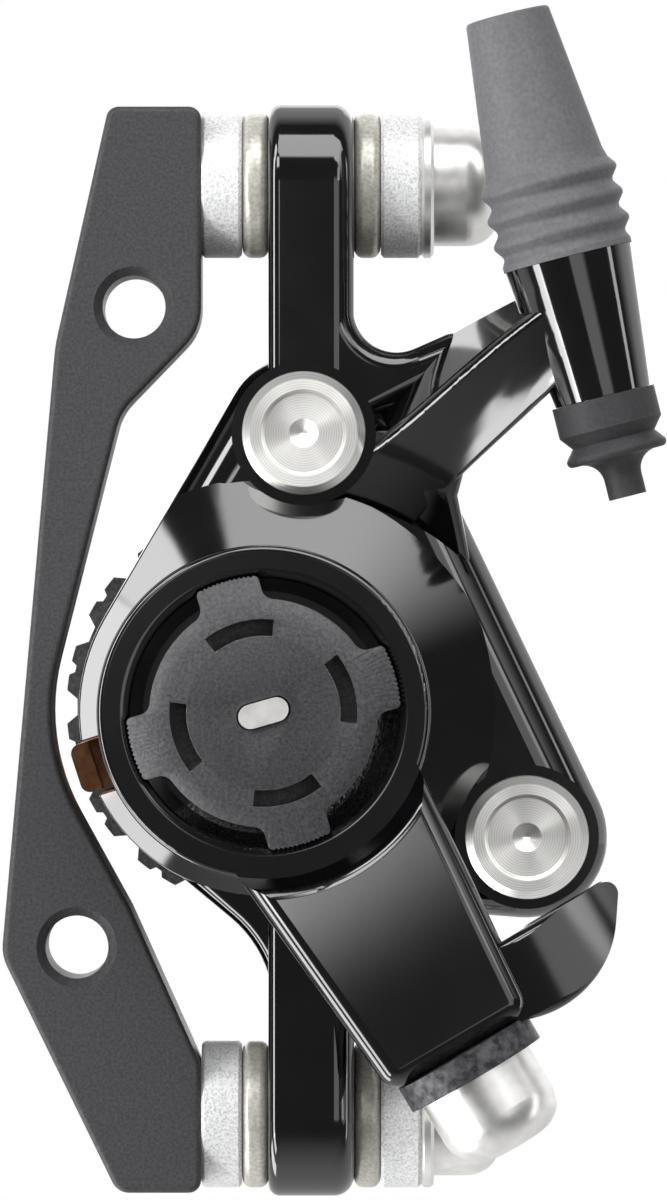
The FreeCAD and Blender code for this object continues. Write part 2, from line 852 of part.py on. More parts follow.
def pad_pocket(name, front, back):
    """The room that a pad slides into from the mouth, on the rotor centre's side."""
    side = "pad_half + pad_clearance"
    outer = "pad_outer + 2 * spreader_gap + spreader_thickness"
    mouth = "-2 * shell_hub_r"
    corners = [
        (mouth, f"-({side})", "0"),
        (f"{outer} - pad_corner", f"-({side}) + pad_corner", "pad_corner"),
        (f"{outer} - pad_corner", f"({side}) - pad_corner", "pad_corner"),
        (mouth, side, "0"),
    ]
    return on_pad_axis(plate(name, corners, front, back))


def tab_notch(name, front, back):
    """The gap in the casting's edge that a pad's pulling tab stands in."""
    corners = [
        ("-2 * shell_hub_r", "-notch_width / 2", "0"),
        ("-notch_r", "-notch_width / 2", "0"),
        ("-notch_r", "notch_width / 2", "0"),
        ("-2 * shell_hub_r", "notch_width / 2", "0"),
    ]
    return on_pad_axis(plate(name, corners, front, back))


def rotor_room(name):
    centre = ("hub_x - rotor_reach * cos(pad_tilt)", slot_front, "hub_z - rotor_reach * sin(pad_tilt)")
    return rod(name, "rotor_room_r", "rotor_slot", centre)


def body_bolt_holes(name, front, back):
    radius = "body_bolt_dia / 2 + thread_clearance"
    holes = []
    for side in ("upper", "lower"):
        at = (f"{side}_bolt_x", front, f"{side}_bolt_z")
        holes.append(rod(f"{name}_{side}_bolt_hole", radius, f"({back}) - ({front})", at))
    return holes


def outboard_housing():
    shell = plate("outboard_shell", shell_corners(), "-shell_front", "rotor_y", "shell_round")
    seats = []
    for side in ("upper", "lower"):
        at = (f"{side}_bolt_x", body_seat, f"{side}_bolt_z")
        seats.append(rod(f"{side}_bolt_seat", "bolt_seat_r", f"rotor_y - ({body_seat})", at))
    solid = fuse(
        "outboard_casting",
        [
            shell,
            tower(),
            *seats,
            ear("upper", upper_post_z, "ear_root_z"),
            ear("lower", lower_post_z, "-lower_ear_root_z"),
            strut(),
            *ear_blends(),
            cable_stop(),
        ],
    )
    spring_front = "-tower_front"
    spring_outer = "spring_r + spring_wire / 2 + spring_room"
    spring_inner = "spring_r - spring_wire / 2 - spring_room"
    spring_depth = "spring_turns * spring_pitch + spring_wire + stack_gap"
    groove = cut(
        "spring_groove",
        hub_rod("spring_groove_outer", spring_outer, spring_front, f"{spring_front} + {spring_depth}"),
        [hub_rod("spring_groove_inner", spring_inner, spring_front, f"{spring_front} + {spring_depth}")],
    )
    outer_bore = rod("outer_bore", "outer_bore_dia / 2", "outer_bore_depth", ("0", "0", "0"), None)
    wire_bore = rod("wire_bore", "wire_bore_dia / 2", "stop_length + stop_spigot + seal_spigot", on_hub, None)
    tools = [
        hub_rod("shaft_bore", "shaft_r + running_clearance", "-tower_front", "-cavity_front"),
        hub_rod("cavity", "cavity_r", "-cavity_front", backing_front),
        pad_pocket("outboard_pocket", f"{backing_front} - stack_gap", slot_front),
        rotor_room("outboard_rotor_room"),
        *body_bolt_holes("outboard", body_seat, "rotor_y"),
        ear_slot("upper", upper_post_z),
        ear_slot("lower", lower_post_z),
        on_cable(outer_bore, "stop_spigot - outer_bore_depth"),
        on_cable(wire_bore, "-stop_length - seal_spigot"),
        tab_notch("outboard_notch", "-tower_front", backing_front),
        rod("bolt_spot_face", "bolt_seat_r", f"arm_front + ({body_seat})", ("upper_bolt_x", "-arm_front", "upper_bolt_z")),
        groove,
    ]
    node("outboard_housing", cut("outboard_body", solid, tools))


def inboard_housing():
    shell = plate("inboard_shell", shell_corners(), "rotor_y", "shell_back", None, "shell_round")
    foot_room = f"{backing_back} + stack_gap"
    foot_end = f"{foot_room} + inboard_foot + stack_gap"
    tools = [
        pad_pocket("inboard_pocket", slot_back, foot_room),
        rotor_room("inboard_rotor_room"),
        tab_notch("inboard_notch", backing_back, "shell_back"),
        *body_bolt_holes("inboard", "rotor_y", "body_bolt_end + thread_clearance"),
        hub_rod("foot_bore", "foot_r + running_clearance", foot_room, foot_end),
        hub_rod("inboard_screw_bore", "inboard_screw_r + running_clearance", foot_end, "shell_back"),
    ]
    node("inboard_housing", cut("inboard_body", shell, tools))


def body_bolts():
    for side in ("upper", "lower"):
        bolt = turned(
            f"{side}_body_bolt_turned",
            [
                ("0", f"-(body_bolt_end - ({body_seat}))", "0"),
                ("body_bolt_dia / 2", f"-(body_bolt_end - ({body_seat}))", "0"),
                ("body_bolt_dia / 2", "0", "0"),
                ("body_head_dia / 2", "0", "0"),
                ("body_head_dia / 2", "body_head_height - body_head_edge", "0"),
                ("body_head_dia / 2 - body_head_edge", "body_head_height", "0"),
                ("body_recess_dia / 2", "body_head_height", "0"),
                ("body_recess_dia / 2 - body_recess_draft", "body_head_height - body_recess_depth", "0"),
                ("body_cone_dia / 2", "body_head_height - body_recess_depth", "0"),
                ("0", "body_head_height - body_recess_depth - body_cone_dia / 4", "0"),
            ],
        )
        place(bolt, (f"{side}_bolt_x", body_seat, f"{side}_bolt_z"), outboard)
        node(f"{side}_body_bolt", bolt)


def cable_boot():
    """A rubber sleeve with bellows at its foot, slipped over the stop's spigot."""
    crest = "boot_crest_dia / 2 - boot_fold_r"
    valley = "boot_valley_dia / 2 + boot_fold_r"
    folds = int(value("boot_folds"))
    step = "boot_neck / (boot_folds + boot_fold_end)"
    bore = "stop_spigot_dia / 2 + thread_clearance"
    corners = [
        (bore, "0", "0"),
        ("boot_base_dia / 2", "0", "0"),
        ("boot_base_dia / 2", "boot_fold_r", "0"),
    ]
    for fold in range(folds):
        corners.append((valley, f"{step} * {fold + 0.5}", "-boot_fold_r"))
        corners.append((crest, f"{step} * {fold + 1}", "boot_fold_r"))
    corners += [
        (valley, f"{step} * {folds + 0.5}", "-boot_fold_r"),
        ("boot_neck_dia / 2", "boot_neck + boot_fold_r", "0"),
        ("boot_top_dia / 2 - boot_wall / 3", "boot_length - boot_wall / 3", "boot_wall / 3"),
        ("outer_bore_dia / 2", "boot_length", "0"),
        ("outer_bore_dia / 2", "stop_spigot + thread_clearance", "0"),
        (bore, "stop_spigot + thread_clearance", "0"),
    ]
    node("cable_boot", on_cable(turned("boot_sleeve", corners), "thread_clearance"))


def cable_seal():
    bore = "seal_spigot_dia / 2 + thread_clearance"
    corners = [
        ("wire_bore_dia / 2", "-seal_length", "0"),
        ("seal_nozzle_dia / 2", "-seal_length", "0"),
        ("seal_nozzle_dia / 2 + seal_hollow_r", "-seal_bead - seal_hollow_drop", "-seal_hollow_r"),
        ("seal_bead_dia / 2 - seal_lip_r", "-seal_bead", "seal_lip_r"),
        ("seal_groove_dia / 2", "-(seal_band + seal_bead) / 2", "0"),
        ("seal_band_dia / 2", "-seal_band", "0"),
        ("seal_band_dia / 2", "0", "0"),
        (bore, "0", "0"),
        (bore, "-seal_spigot - thread_clearance", "0"),
        ("wire_bore_dia / 2", "-seal_spigot - thread_clearance", "0"),
    ]
    node("cable_seal", on_cable(turned("seal_nozzle", corners), "-stop_length - thread_clearance"))


def on_arm(item):
    """Turns a piece drawn along +X to lie along the torque arm."""
    return place(item, on_hub, axis=Vector(0, 1, 0), angle="arm_drop")


def torque_arm():
    hub = plate_disc("arm_hub", "arm_hub_r", "-arm_hub_front", "-arm_back", "arm_hub_edge")
    end_u = "arm_length - arm_corner"
    end_v = "arm_end_half - arm_corner"
    bar = plate(
        "arm_bar",
        [
            ("0", "-arm_root_half + arm_corner", "arm_corner"),
            (end_u, f"-({end_v})", "arm_corner"),
            (end_u, end_v, "arm_corner"),
            ("0", "arm_root_half - arm_corner", "arm_corner"),
        ],
        "-arm_front",
        "-arm_back",
        "arm_edge",
    )
    horn = plate(
        "cable_horn",
        [
            ("arm_length - horn_tip_back - horn_tip_r", "0", "0"),
            ("arm_length - arm_corner - horn_edge", "0", "0"),
            ("arm_length - horn_round_back", "horn_round_v", "horn_round_r"),
            ("arm_length - horn_tip_back", "horn_tip_v", "horn_tip_r"),
        ],
        "-horn_front",
        "-horn_back",
        "horn_edge",
        "horn_edge",
    )
    solid = fuse("arm_casting", [hub, on_arm(bar), common("domed_horn", on_arm(horn), horn_dome())])
    recess_floor = "-arm_hub_front + arm_recess_depth"
    tools = [
        hub_rod("arm_recess", "arm_recess_r", "-arm_hub_front", recess_floor),
        cone(
            "arm_bevel_cut",
            "arm_recess_r + arm_bevel",
            "arm_recess_r",
            "arm_bevel",
            ("hub_x", "-arm_hub_front", "hub_z"),
        ),
        arm_scoop(),
        prism(
            "arm_hex",
            "drive_hex + 2 * key_clearance",
            "arm_hub_front - arm_back",
            ("hub_x", "-arm_hub_front", "hub_z"),
            along_y,
        ),
        on_arm_end("anchor_hole", "anchor_bolt_dia / 2 + thread_clearance", "-anchor_engagement - thread_clearance", "0"),
        on_arm_end("anchor_seat", "anchor_plate_dia / 2 + anchor_seat_room", "0", "2 * anchor_plate"),
        horn_groove(),
    ]
    node("torque_arm", cut("arm", solid, tools))


def arm_scoop():
    """The room in front of the hub, with a rounded brim where the arm's face rises from it."""
    rise = "(arm_front - arm_hub_front)"
    scoop = turned(
        "arm_scoop",
        [
            ("0", "0", "0"),
            ("scoop_floor_r", "0", "0"),
            ("scoop_r", f"{rise} - scoop_edge", "-scoop_edge"),
            ("scoop_r + 2 * scoop_edge", f"{rise} + scoop_rise", "0"),
            ("0", f"{rise} + scoop_rise", "0"),
        ],
    )
    return place(scoop, ("hub_x", "-arm_hub_front", "hub_z"), outboard)


def plate_disc(name, radius, front, back, edge):
    """A disc about the hub axis with its front rim rounded."""
    body = doc.addObject("PartDesign::Body", name)
    sketch = sketch_on(body, "XZ_Plane", f"-({back})")
    ring = sketch.addGeometry(Part.Circle(Vector(value("hub_x"), value("hub_z"), 0), Vector(0, 0, 1), value(radius)))
    made = sketch.addConstraint(Sketcher.Constraint("Radius", ring, value(radius)))
    sketch.renameConstraint(made, "disc_radius")
    bind(sketch, Constraints__disc_radius=radius)
    pin_point(sketch, ring, 3, "hub_x", "hub_z")
    pad = body.newObject("PartDesign::Pad", f"{name}_pad")
    pad.Profile = sketch
    bind(pad, Length=f"({back}) - ({front})")
    rounded(body, pad, "y", front, edge)
    return body


def on_arm_end(name, radius, start, end):
    """A rod on the anchor bolt's line, from one distance past the arm's end face to another."""
    item = doc.addObject("Part::Cylinder", name)
    bind(item, Radius=radius, Height=f"({end}) - ({start})")
    return at_arm_end(item, start)


def at_arm_end(item, past):
    reach = f"(arm_length + ({past}))"
    at = (f"hub_x + {reach} * cos(arm_drop)", "-cable_y", f"hub_z - {reach} * sin(arm_drop)")
    return place(item, at, axis=Vector(0, 1, 0), angle="90 + arm_drop")


def horn_dome():
    """A long round along the arm that the horn's front face curves away on."""
    dome = doc.addObject("Part::Cylinder", "horn_dome")
    bind(dome, Radius="horn_dome_r", Height="arm_length + horn_round_r")
    at = (
        "hub_x + horn_dome_v * sin(arm_drop)",
        "-horn_front + horn_dome_r",
        "hub_z + horn_dome_v * cos(arm_drop)",
    )
    return place(dome, at, axis=Vector(0, 1, 0), angle="90 + arm_drop")


def horn_groove():
    """The track round the horn's outer edge that the cable lies in."""
    u, v = "(arm_length - horn_round_back)", "horn_round_v"
    at = (
        f"hub_x + {u} * cos(arm_drop) + {v} * sin(arm_drop)",
        "-cable_y",
        f"hub_z - {u} * sin(arm_drop) + {v} * cos(arm_drop)",
    )
    return torus("cable_groove", "horn_round_r + cable_groove_r / 3", "cable_groove_r", at)


def cable_anchor():
    washer = cut(
        "anchor_ring",
        on_arm_end("anchor_disc", "anchor_plate_dia / 2", "0", "anchor_plate"),
        [on_arm_end("anchor_disc_bore", "anchor_bolt_dia / 2 + thread_clearance", "0", "anchor_plate")],
    )
    node("cable_anchor_plate", washer)
    bolt = socket_bolt(
        "anchor_bolt",
        "anchor_bolt_dia",
        "anchor_plate + anchor_engagement",
        "anchor_head_dia",
        "anchor_head",
        "anchor_head_round",
        "anchor_socket",
        "anchor_head / 2",
    )
    node("cable_anchor_bolt", at_arm_end(bolt, "anchor_plate"))


def ball_race(name):
    at = ("hub_x", "ball_y", "hub_z")
    return torus(name, "ball_circle_r", "ball_r + race_clearance", at)


def drive_parts():
    flange = hub_rod("cam_flange", "cavity_r - running_clearance", cam_front, cam_back)
    shaft = hub_rod("cam_shaft", "shaft_r", "-arm_back", cam_front)
    hex_front = "-arm_hub_front + arm_recess_depth"
    hexagon = prism("cam_hex", "drive_hex", f"-arm_back - ({hex_front})", ("hub_x", hex_front, "hub_z"), along_y)
    cam = fuse("cam_blank", [flange, shaft, hexagon])
    tools = [hub_rod("cam_bore", "spindle_room_r", hex_front, cam_back), ball_race("cam_race")]
    node("drive_cam", cut("cam", cam, tools))

    thrust_front = "-cavity_front + stack_gap"
    thrust_back = f"{thrust_front} + thrust_thickness"
    ring = hub_rod("thrust_ring", "thrust_r", thrust_front, thrust_back)
    bore = hub_rod("thrust_bore", "shaft_r + running_clearance", thrust_front, thrust_back)
    node("thrust_washer", cut("thrust", ring, [bore]))

    balls, pockets = [], []
    for count in range(int(value("ball_count"))):
        angle = f"90 + 360 / ball_count * {count}"
        x = f"hub_x + ball_circle_r * cos({angle})"
        z = f"hub_z + ball_circle_r * sin({angle})"
        balls.append(sphere(f"ball_{count}", "ball_r", (x, "ball_y", z)))
        pocket_at = (x, "ball_y - cage_thickness / 2", z)
        pockets.append(rod(f"ball_pocket_{count}", "ball_r + race_clearance", "cage_thickness", pocket_at))
    group = doc.addObject("Part::Compound", "ball_group")
    group.Links = balls
    node("steel_balls", group)
    cage_span = ("ball_y - cage_thickness / 2", "ball_y + cage_thickness / 2")
    cage = hub_rod("cage_ring", "cage_outer_r", *cage_span)
    node("ball_cage", cut("cage", cage, [hub_rod("cage_bore", "cage_inner_r", *cage_span), *pockets]))

    disc = hub_rod("pressure_disc", "cavity_r - running_clearance", plate_front, plate_back)
    screw_bore = hub_rod("plate_bore", "foot_screw_r + running_clearance", plate_front, plate_back)
    node("pressure_plate", cut("pressure", disc, [screw_bore, ball_race("plate_race")]))

    helix = doc.addObject("Part::Helix", "spring_line")
    bind(helix, Pitch="spring_pitch", Height="spring_turns * spring_pitch", Radius="spring_r")
    wire = doc.addObject("Part::Circle", "spring_section")
    bind(wire, Radius="spring_wire / 2")
    place(wire, ("spring_r", "0", "0"), Rotation(Vector(1, 0, 0), 90))
    spring = doc.addObject("Part::Sweep", "spring_coil")
    spring.Sections = [wire]
    spring.Spine = (helix, ["Edge1"])
    spring.Solid = True
    spring.Frenet = True
    place(spring, ("hub_x", "-tower_front + spring_wire / 2 + stack_gap / 2", "hub_z"), along_y)
    node("return_spring", spring)


def stadium(name, length, width, front, back):
    """A flat-sided bar with round edges about the hub axis, turned with the knob."""
    run = f"(({length}) - ({width})) / 2"
    ends = [(f"-{run}", "0", f"({width}) / 2"), (run, "0", f"({width}) / 2")]
    bar = plate(name, ends, front, back)
    return place(bar, on_hub, axis=Vector(0, -1, 0), angle="knob_turn")


def outboard_adjuster():
    disc = hub_rod("knob_disc", "knob_r", "-knob_front", "-knob_back")
    height = "knob_front - knob_back"
    limit = turned(
        "knob_limit",
        [
            ("0", "0", "0"),
            ("knob_lobe_r", "0", "0"),
            ("knob_lobe_r", f"{height} - knob_slope - knob_edge", "0"),
            ("knob_lobe_r - knob_edge", f"{height} - knob_slope", "0"),
            ("knob_disc_r", height, "0"),
            ("0", height, "0"),
        ],
    )
    place(limit, ("hub_x", "-knob_back", "hub_z"), outboard)
    arms = []
    for count in range(2):
        bar = doc.addObject("Part::Box", f"knob_lobes_{count}")
        bind(bar, Length="2 * knob_lobe_r", Width=height, Height="knob_lobe_width")
        angle = f"knob_turn + {90 * count}"
        reach_x = f"-knob_lobe_r * cos({angle}) + knob_lobe_width / 2 * sin({angle})"
        reach_z = f"-knob_lobe_r * sin({angle}) - knob_lobe_width / 2 * cos({angle})"
        at = (f"hub_x + {reach_x}", "-knob_front", f"hub_z + {reach_z}")
        arms.append(place(bar, at, axis=Vector(0, -1, 0), angle=angle))
    lobed = common("knob_lobed", fuse("knob_cross", [disc, *arms]), limit)
    skirt = hub_rod("knob_skirt_disc", "knob_skirt_r", "-knob_back", "-knob_back + knob_skirt")
    slots = []
    for count in range(4):
        sector = doc.addObject("Part::Cylinder", f"slot_sector_{count}")
        bind(sector, Radius="knob_slot_r + knob_slot_width / 2", Height="knob_slot_depth", Angle="knob_slot_span")
        start = f"knob_turn + 45 + {90 * count} - knob_slot_span / 2"
        turn = Rotation(Vector(0, -1, 0), value(start)) * Rotation(Vector(1, 0, 0), 90)
        floor = "-knob_front + knob_slot_depth"
        place(sector, ("hub_x", floor, "hub_z"), turn)
        core = hub_rod(f"slot_core_{count}", "knob_slot_r - knob_slot_width / 2", "-knob_front", floor)
        slots.append(cut(f"arc_slot_{count}", sector, [core]))
    eye_length = "spindle_length + 2 * key_clearance"
    eye_width = "spindle_width + 2 * key_clearance"
    eye = stadium("knob_eye", eye_length, eye_width, "-knob_front", "-knob_back + knob_skirt")
    solid = fuse("knob_solid", [lobed, skirt])
    node("outboard_knob", cut("knob", solid, [*slots, eye]))
    node("adjuster_spindle", stadium("spindle", "spindle_length", "spindle_width", "-spindle_front", "spindle_end"))

    screw_end = f"{foot_front} - stack_gap"
    screw = hub_rod("screw_blank", "foot_screw_r", "foot_screw_front", screw_end)
    socket_length = "spindle_length + 2 * running_clearance"
    socket_width = "spindle_width + 2 * running_clearance"
    socket = stadium("screw_socket", socket_length, socket_width, "foot_screw_front", screw_end)
    node("foot_screw", cut("screw", screw, [socket]))
    node("pressure_foot", hub_rod("foot", "foot_r", foot_front, f"{backing_front} - stack_gap"))


def brake_pad(side, backing, lining, fold):
    """One pad: a backing plate with its pulling tab and the tab's turned-up lip, and the lining on it."""
    base = on_pad_axis(plate(f"{side}_backing", pad_outline("0", "0"), *backing))
    tab_corners = [
        ("-tab_reach + tab_corner", "-tab_width / 2 + tab_corner", "tab_corner"),
        ("-pad_inner + pad_corner", "-tab_width / 2", "0"),
        ("-pad_inner + pad_corner", "tab_width / 2", "0"),
        ("-tab_reach + tab_corner", "tab_width / 2 - tab_corner", "tab_corner"),
    ]
    tab = on_pad_axis(plate(f"{side}_tab", tab_corners, *backing))
    fold_corners = [
        ("-tab_reach + tab_corner", "-tab_width / 2 + tab_corner", "tab_corner"),
        ("-tab_reach + tab_fold", "-tab_width / 2", "0"),
        ("-tab_reach + tab_fold", "tab_width / 2", "0"),
        ("-tab_reach + tab_corner", "tab_width / 2 - tab_corner", "tab_corner"),
    ]
    lip = on_pad_axis(plate(f"{side}_tab_lip", fold_corners, *fold))
    node(f"{side}_pad_plate", fuse(f"{side}_plate", [base, tab, lip]))
    room = "spreader_leg + lining_margin"
    block = plate(f"{side}_lining", pad_outline("lining_margin", room), *lining)
    node(f"{side}_pad_lining", on_pad_axis(block))


def pads():
    outboard_gap = "rotor_y - pad_gap / 2"
    inboard_gap = "rotor_y + pad_gap / 2"
    outboard_lip = (f"{backing_front} - tab_fold", lining_front)
    inboard_lip = (lining_back, f"{backing_back} + tab_fold")
    brake_pad("outboard", (backing_front, lining_front), (lining_front, outboard_gap), outboard_lip)
    brake_pad("inboard", (lining_back, backing_back), (inboard_gap, lining_back), inboard_lip)
    pad_spreader()


def pad_spreader():
    """The spring strip that bridges the rotor's rim and rests on both backing plates."""
    bridge = "pad_outer + spreader_gap"
    front = f"{lining_front} + stack_gap / 2"
    back = f"{lining_back} - stack_gap / 2"

    def strip(name, start, end, first, last):
        corners = [
            (start, "-spreader_half", "0"),
            (end, "-spreader_half", "0"),
            (end, "spreader_half", "0"),
            (start, "spreader_half", "0"),
        ]
        return on_pad_axis(plate(name, corners, first, last))

    far = f"{bridge} + spreader_thickness"
    leg_start = "pad_outer - spreader_leg"
    strips = [
        strip("spreader_bridge", bridge, far, front, back),
        strip("spreader_front_leg", leg_start, far, front, f"{front} + spreader_thickness"),
        strip("spreader_back_leg", leg_start, far, f"{back} - spreader_thickness", back),
    ]
    node("pad_spreader_spring", fuse("spreader", strips))


def inboard_adjuster():
    foot_at = f"{backing_back} + stack_gap"
    foot_end = f"{foot_at} + inboard_foot"
    node("inboard_foot", hub_rod("inboard_foot_disc", "foot_r", foot_at, foot_end))
    screw_front = f"{foot_end} + 2 * stack_gap"
    node("inboard_adjuster_screw", hub_rod("inboard_screw", "inboard_screw_r", screw_front, "dial_back - dial_dish"))
    body = doc.addObject("PartDesign::Body", "dial")
    sketch = sketch_on(body, "XZ_Plane", "-dial_back")
    ring = sketch.addGeometry(Part.Circle(Vector(), Vector(0, 0, 1), value("dial_r")))
    made = sketch.addConstraint(Sketcher.Constraint("Radius", ring, value("dial_r")))
    sketch.renameConstraint(made, "dial_radius")
    bind(sketch, Constraints__dial_radius="dial_r")
    sketch.addConstraint(Sketcher.Constraint("Coincident", ring, 3, -1, 1))
    pad = body.newObject("PartDesign::Pad", "dial_pad")
    pad.Profile = sketch
    bind(pad, Length="dial_back - dial_front")
    cuts = []
    for name, width, depth, turn in (("gap", "dial_gap", "dial_gap_depth", 0), ("notch", "dial_notch", "dial_notch_depth", 0.5)):
        profile = sketch_on(body, "XZ_Plane", "-dial_front")
        outline(
            profile,
            [
                (f"dial_r - {depth}", f"-{width} / 2 * dial_floor_share", "0"),
                (f"dial_r + {depth}", f"-{width}", "0"),
                (f"dial_r + {depth}", width, "0"),
                (f"dial_r - {depth}", f"{width} / 2 * dial_floor_share", "0"),
            ],
        )
        bind(profile, AttachmentOffset__Rotation__Angle=f"{turn} * 360 / dial_lobes")
        pocket = body.newObject("PartDesign::Pocket", f"dial_{name}")
        pocket.Profile = profile
        bind(pocket, Length="dial_back - dial_front")
        cuts.append(pocket)
    doc.recompute()
    axis = next(item for item in body.Origin.OriginFeatures if item.Role == "Y_Axis")
    pattern = body.newObject("PartDesign::PolarPattern", "dial_pattern")
    pattern.Originals = cuts
    pattern.Axis = (axis, [""])
    pattern.Angle = 360
    bind(pattern, Occurrences="dial_lobes")
    body.Tip = pattern
    place(body, on_hub)
    dish = hub_rod("dial_dish_cut", "dial_dish_r", "dial_back - dial_dish", "dial_back")
    screw_hole = hub_rod("dial_bore", "inboard_screw_r + key_clearance", "dial_front", "dial_back")
    node("inboard_knob", cut("inboard_dial", body, [dish, screw_hole]))
    detent = hub_rod("detent_ring", "detent_outer_r", "shell_back", "shell_back + detent_thickness")
    hole = hub_rod("detent_hole", "detent_inner_r", "shell_back", "shell_back + detent_thickness")
    node("inboard_detent_spring", cut("detent", detent, [hole]))


mounting_bracket()
post_bolts()
outboard_housing()
inboard_housing()
body_bolts()
cable_boot()
cable_seal()
torque_arm()
cable_anchor()
drive_parts()
outboard_adjuster()
pads()
inboard_adjuster()
doc.recompute()

failed = [item.Label for item in doc.Objects if "Invalid" in item.State or "Error" in item.State]
if failed:
    raise RuntimeError(f"these did not build: {failed}")
for name, item in nodes.items():
    if item.Shape.isNull() or not item.Shape.isValid():
        raise RuntimeError(f"{name} has no valid shape")
    if len(item.Shape.Solids) != (sizes["ball_count"] if name == "steel_balls" else 1):
        raise RuntimeError(f"{name} fell into {len(item.Shape.Solids)} solids")
for item in doc.Objects:
    if item.isDerivedFrom("Part::MultiFuse") and item.Shape.Volume < max(one.Shape.Volume for one in item.Shapes):
        raise RuntimeError(f"{item.Label} lost a piece")
os.makedirs("parts", exist_ok=True)
for name, item in nodes.items():
    item.Shape.exportStep(f"parts/{name}.step")
    print(name, len(item.Shape.Solids), round(item.Shape.Volume, 1))
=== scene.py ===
import json
import math

import bpy
from mathutils import Matrix, Vector
from mathutils.bvhtree import BVHTree
from mathutils.geometry import barycentric_transform


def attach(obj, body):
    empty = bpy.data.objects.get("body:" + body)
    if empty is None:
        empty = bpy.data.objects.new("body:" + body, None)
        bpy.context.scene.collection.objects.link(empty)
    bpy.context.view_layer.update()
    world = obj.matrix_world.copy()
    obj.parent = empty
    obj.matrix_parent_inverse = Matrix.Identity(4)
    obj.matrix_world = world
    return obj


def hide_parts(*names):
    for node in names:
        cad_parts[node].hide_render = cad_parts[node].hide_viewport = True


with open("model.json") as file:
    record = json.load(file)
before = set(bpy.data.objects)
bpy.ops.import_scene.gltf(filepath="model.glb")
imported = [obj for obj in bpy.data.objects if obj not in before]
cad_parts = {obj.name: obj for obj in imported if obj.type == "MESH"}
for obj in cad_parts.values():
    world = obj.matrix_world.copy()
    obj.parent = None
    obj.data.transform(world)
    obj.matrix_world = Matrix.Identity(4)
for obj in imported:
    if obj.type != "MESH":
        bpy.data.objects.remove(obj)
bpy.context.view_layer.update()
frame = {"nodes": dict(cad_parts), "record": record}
nodes = frame["nodes"]
scene = bpy.context.scene
print("frame loaded:", len(nodes), "nodes")

mm = 0.001
weld = 1e-6  # points closer than this are one point
hubX, hubZ = 12.65 * mm, -6.65 * mm  # the torque arm's axis
hub = Vector((hubX, 0, hubZ))
boltPlaces = {"upper_body_bolt": (15.75 * mm, 15.3 * mm), "lower_body_bolt": (33.35 * mm, -16.55 * mm)}


# Materials

def linear(hexColour):
    channels = [int(hexColour[i:i + 2], 16) / 255 for i in (1, 3, 5)]
    return tuple(c / 12.92 if c <= 0.04045 else ((c + 0.055) / 1.055) ** 2.4 for c in channels) + (1,)


def newMaterial(name, **sockets):
    material = bpy.data.materials.new(name)
    material.use_nodes = True
    shader = material.node_tree.nodes["Principled BSDF"]
    for socket, value in sockets.items():
        shader.inputs[socket.replace("_", " ")].default_value = value
    return material, material.node_tree, shader


def add(tree, kind, settings=None, links=None, to=None):
    node = tree.nodes.new(kind)
    for key, value in (settings or {}).items():
        if key == "stops":
            for stop, (position, colour) in zip(node.color_ramp.elements, value):
                stop.position, stop.color = position, linear(colour)
        elif isinstance(key, int) or key in node.inputs:
            node.inputs[key].default_value = value
        else:
            setattr(node, key, value)
    for socket, source in (links or {}).items():
        tree.links.new(source, node.inputs[socket])
    if to is not None:
        tree.links.new(node.outputs[0], to)
    return node


def perMm(sizeMm):
    return 1 / (sizeMm * mm)  # texture scale that gives one pattern cell of this size


def mottledMaterial(name, look, **sockets):
    # most finishes start here: two tones mottled at the grain's size, with haze or pits if the look says so
    material, tree, shader = newMaterial(name, **sockets)
    place = add(tree, "ShaderNodeTexCoord").outputs["Object"]
    settings = {
        "Scale": perMm(look["grainMm"]), "Detail": look["detail"], "Roughness": look.get("fineness", 0.5),
    }
    grain = add(tree, "ShaderNodeTexNoise", settings, {"Vector": place}).outputs["Fac"]
    low, high = look.get("spread", (0.35, 0.65))
    stops = ((low, look["dark"]), (high, look["light"]))
    tint = add(tree, "ShaderNodeValToRGB", {"stops": stops}, {"Fac": grain}, shader.inputs["Base Color"])
    if "hazy" in look:
        haze = {"To Min": look["smooth"], "To Max": look["hazy"]}
        add(tree, "ShaderNodeMapRange", haze, {"Value": grain}, shader.inputs["Roughness"])
    if "bump" in look:
        deep = {"Strength": look["bump"], "Distance": look["deepMm"] * mm}
        add(tree, "ShaderNodeBump", deep, {"Height": grain}, shader.inputs["Normal"])
    return material, tree, shader, place, tint


def fromHub(tree, place):
    # the place as seen along the hub axis, and its distance from that axis
    centred = add(tree, "ShaderNodeMapping", {"Location": (-hubX, 0, -hubZ)}, {"Vector": place})
    flatten = {"operation": "MULTIPLY", 1: (1, 0, 1)}
    flat = add(tree, "ShaderNodeVectorMath", flatten, {0: centred.outputs["Vector"]}).outputs["Vector"]
    reach = add(tree, "ShaderNodeVectorMath", {"operation": "LENGTH"}, {0: flat}).outputs["Value"]
    return flat, reach


def glossEnamel(name, **changes):
    # cast aluminium under gloss black enamel: deep black, sharp reflections, slight orange peel
    look = {
        "dark": "#040405", "light": "#08080a", "grainMm": 4.0, "detail": 2.0, "smooth": 0.06, "hazy": 0.09,
        "peelMm": 1.8, "peel": 0.02, "peelDeepMm": 0.05,
    }
    look.update(changes)
    material, tree, shader, place = mottledMaterial(name, look, IOR=1.85)[:4]
    peel = add(tree, "ShaderNodeTexNoise", {"Scale": perMm(look["peelMm"]), "Detail": 1.0}, {"Vector": place})
    deep = {"Strength": look["peel"], "Distance": look["peelDeepMm"] * mm}
    wavy = add(tree, "ShaderNodeBump", deep, {"Height": peel.outputs["Fac"]}, shader.inputs["Normal"])
    return material, tree, shader, place, wavy


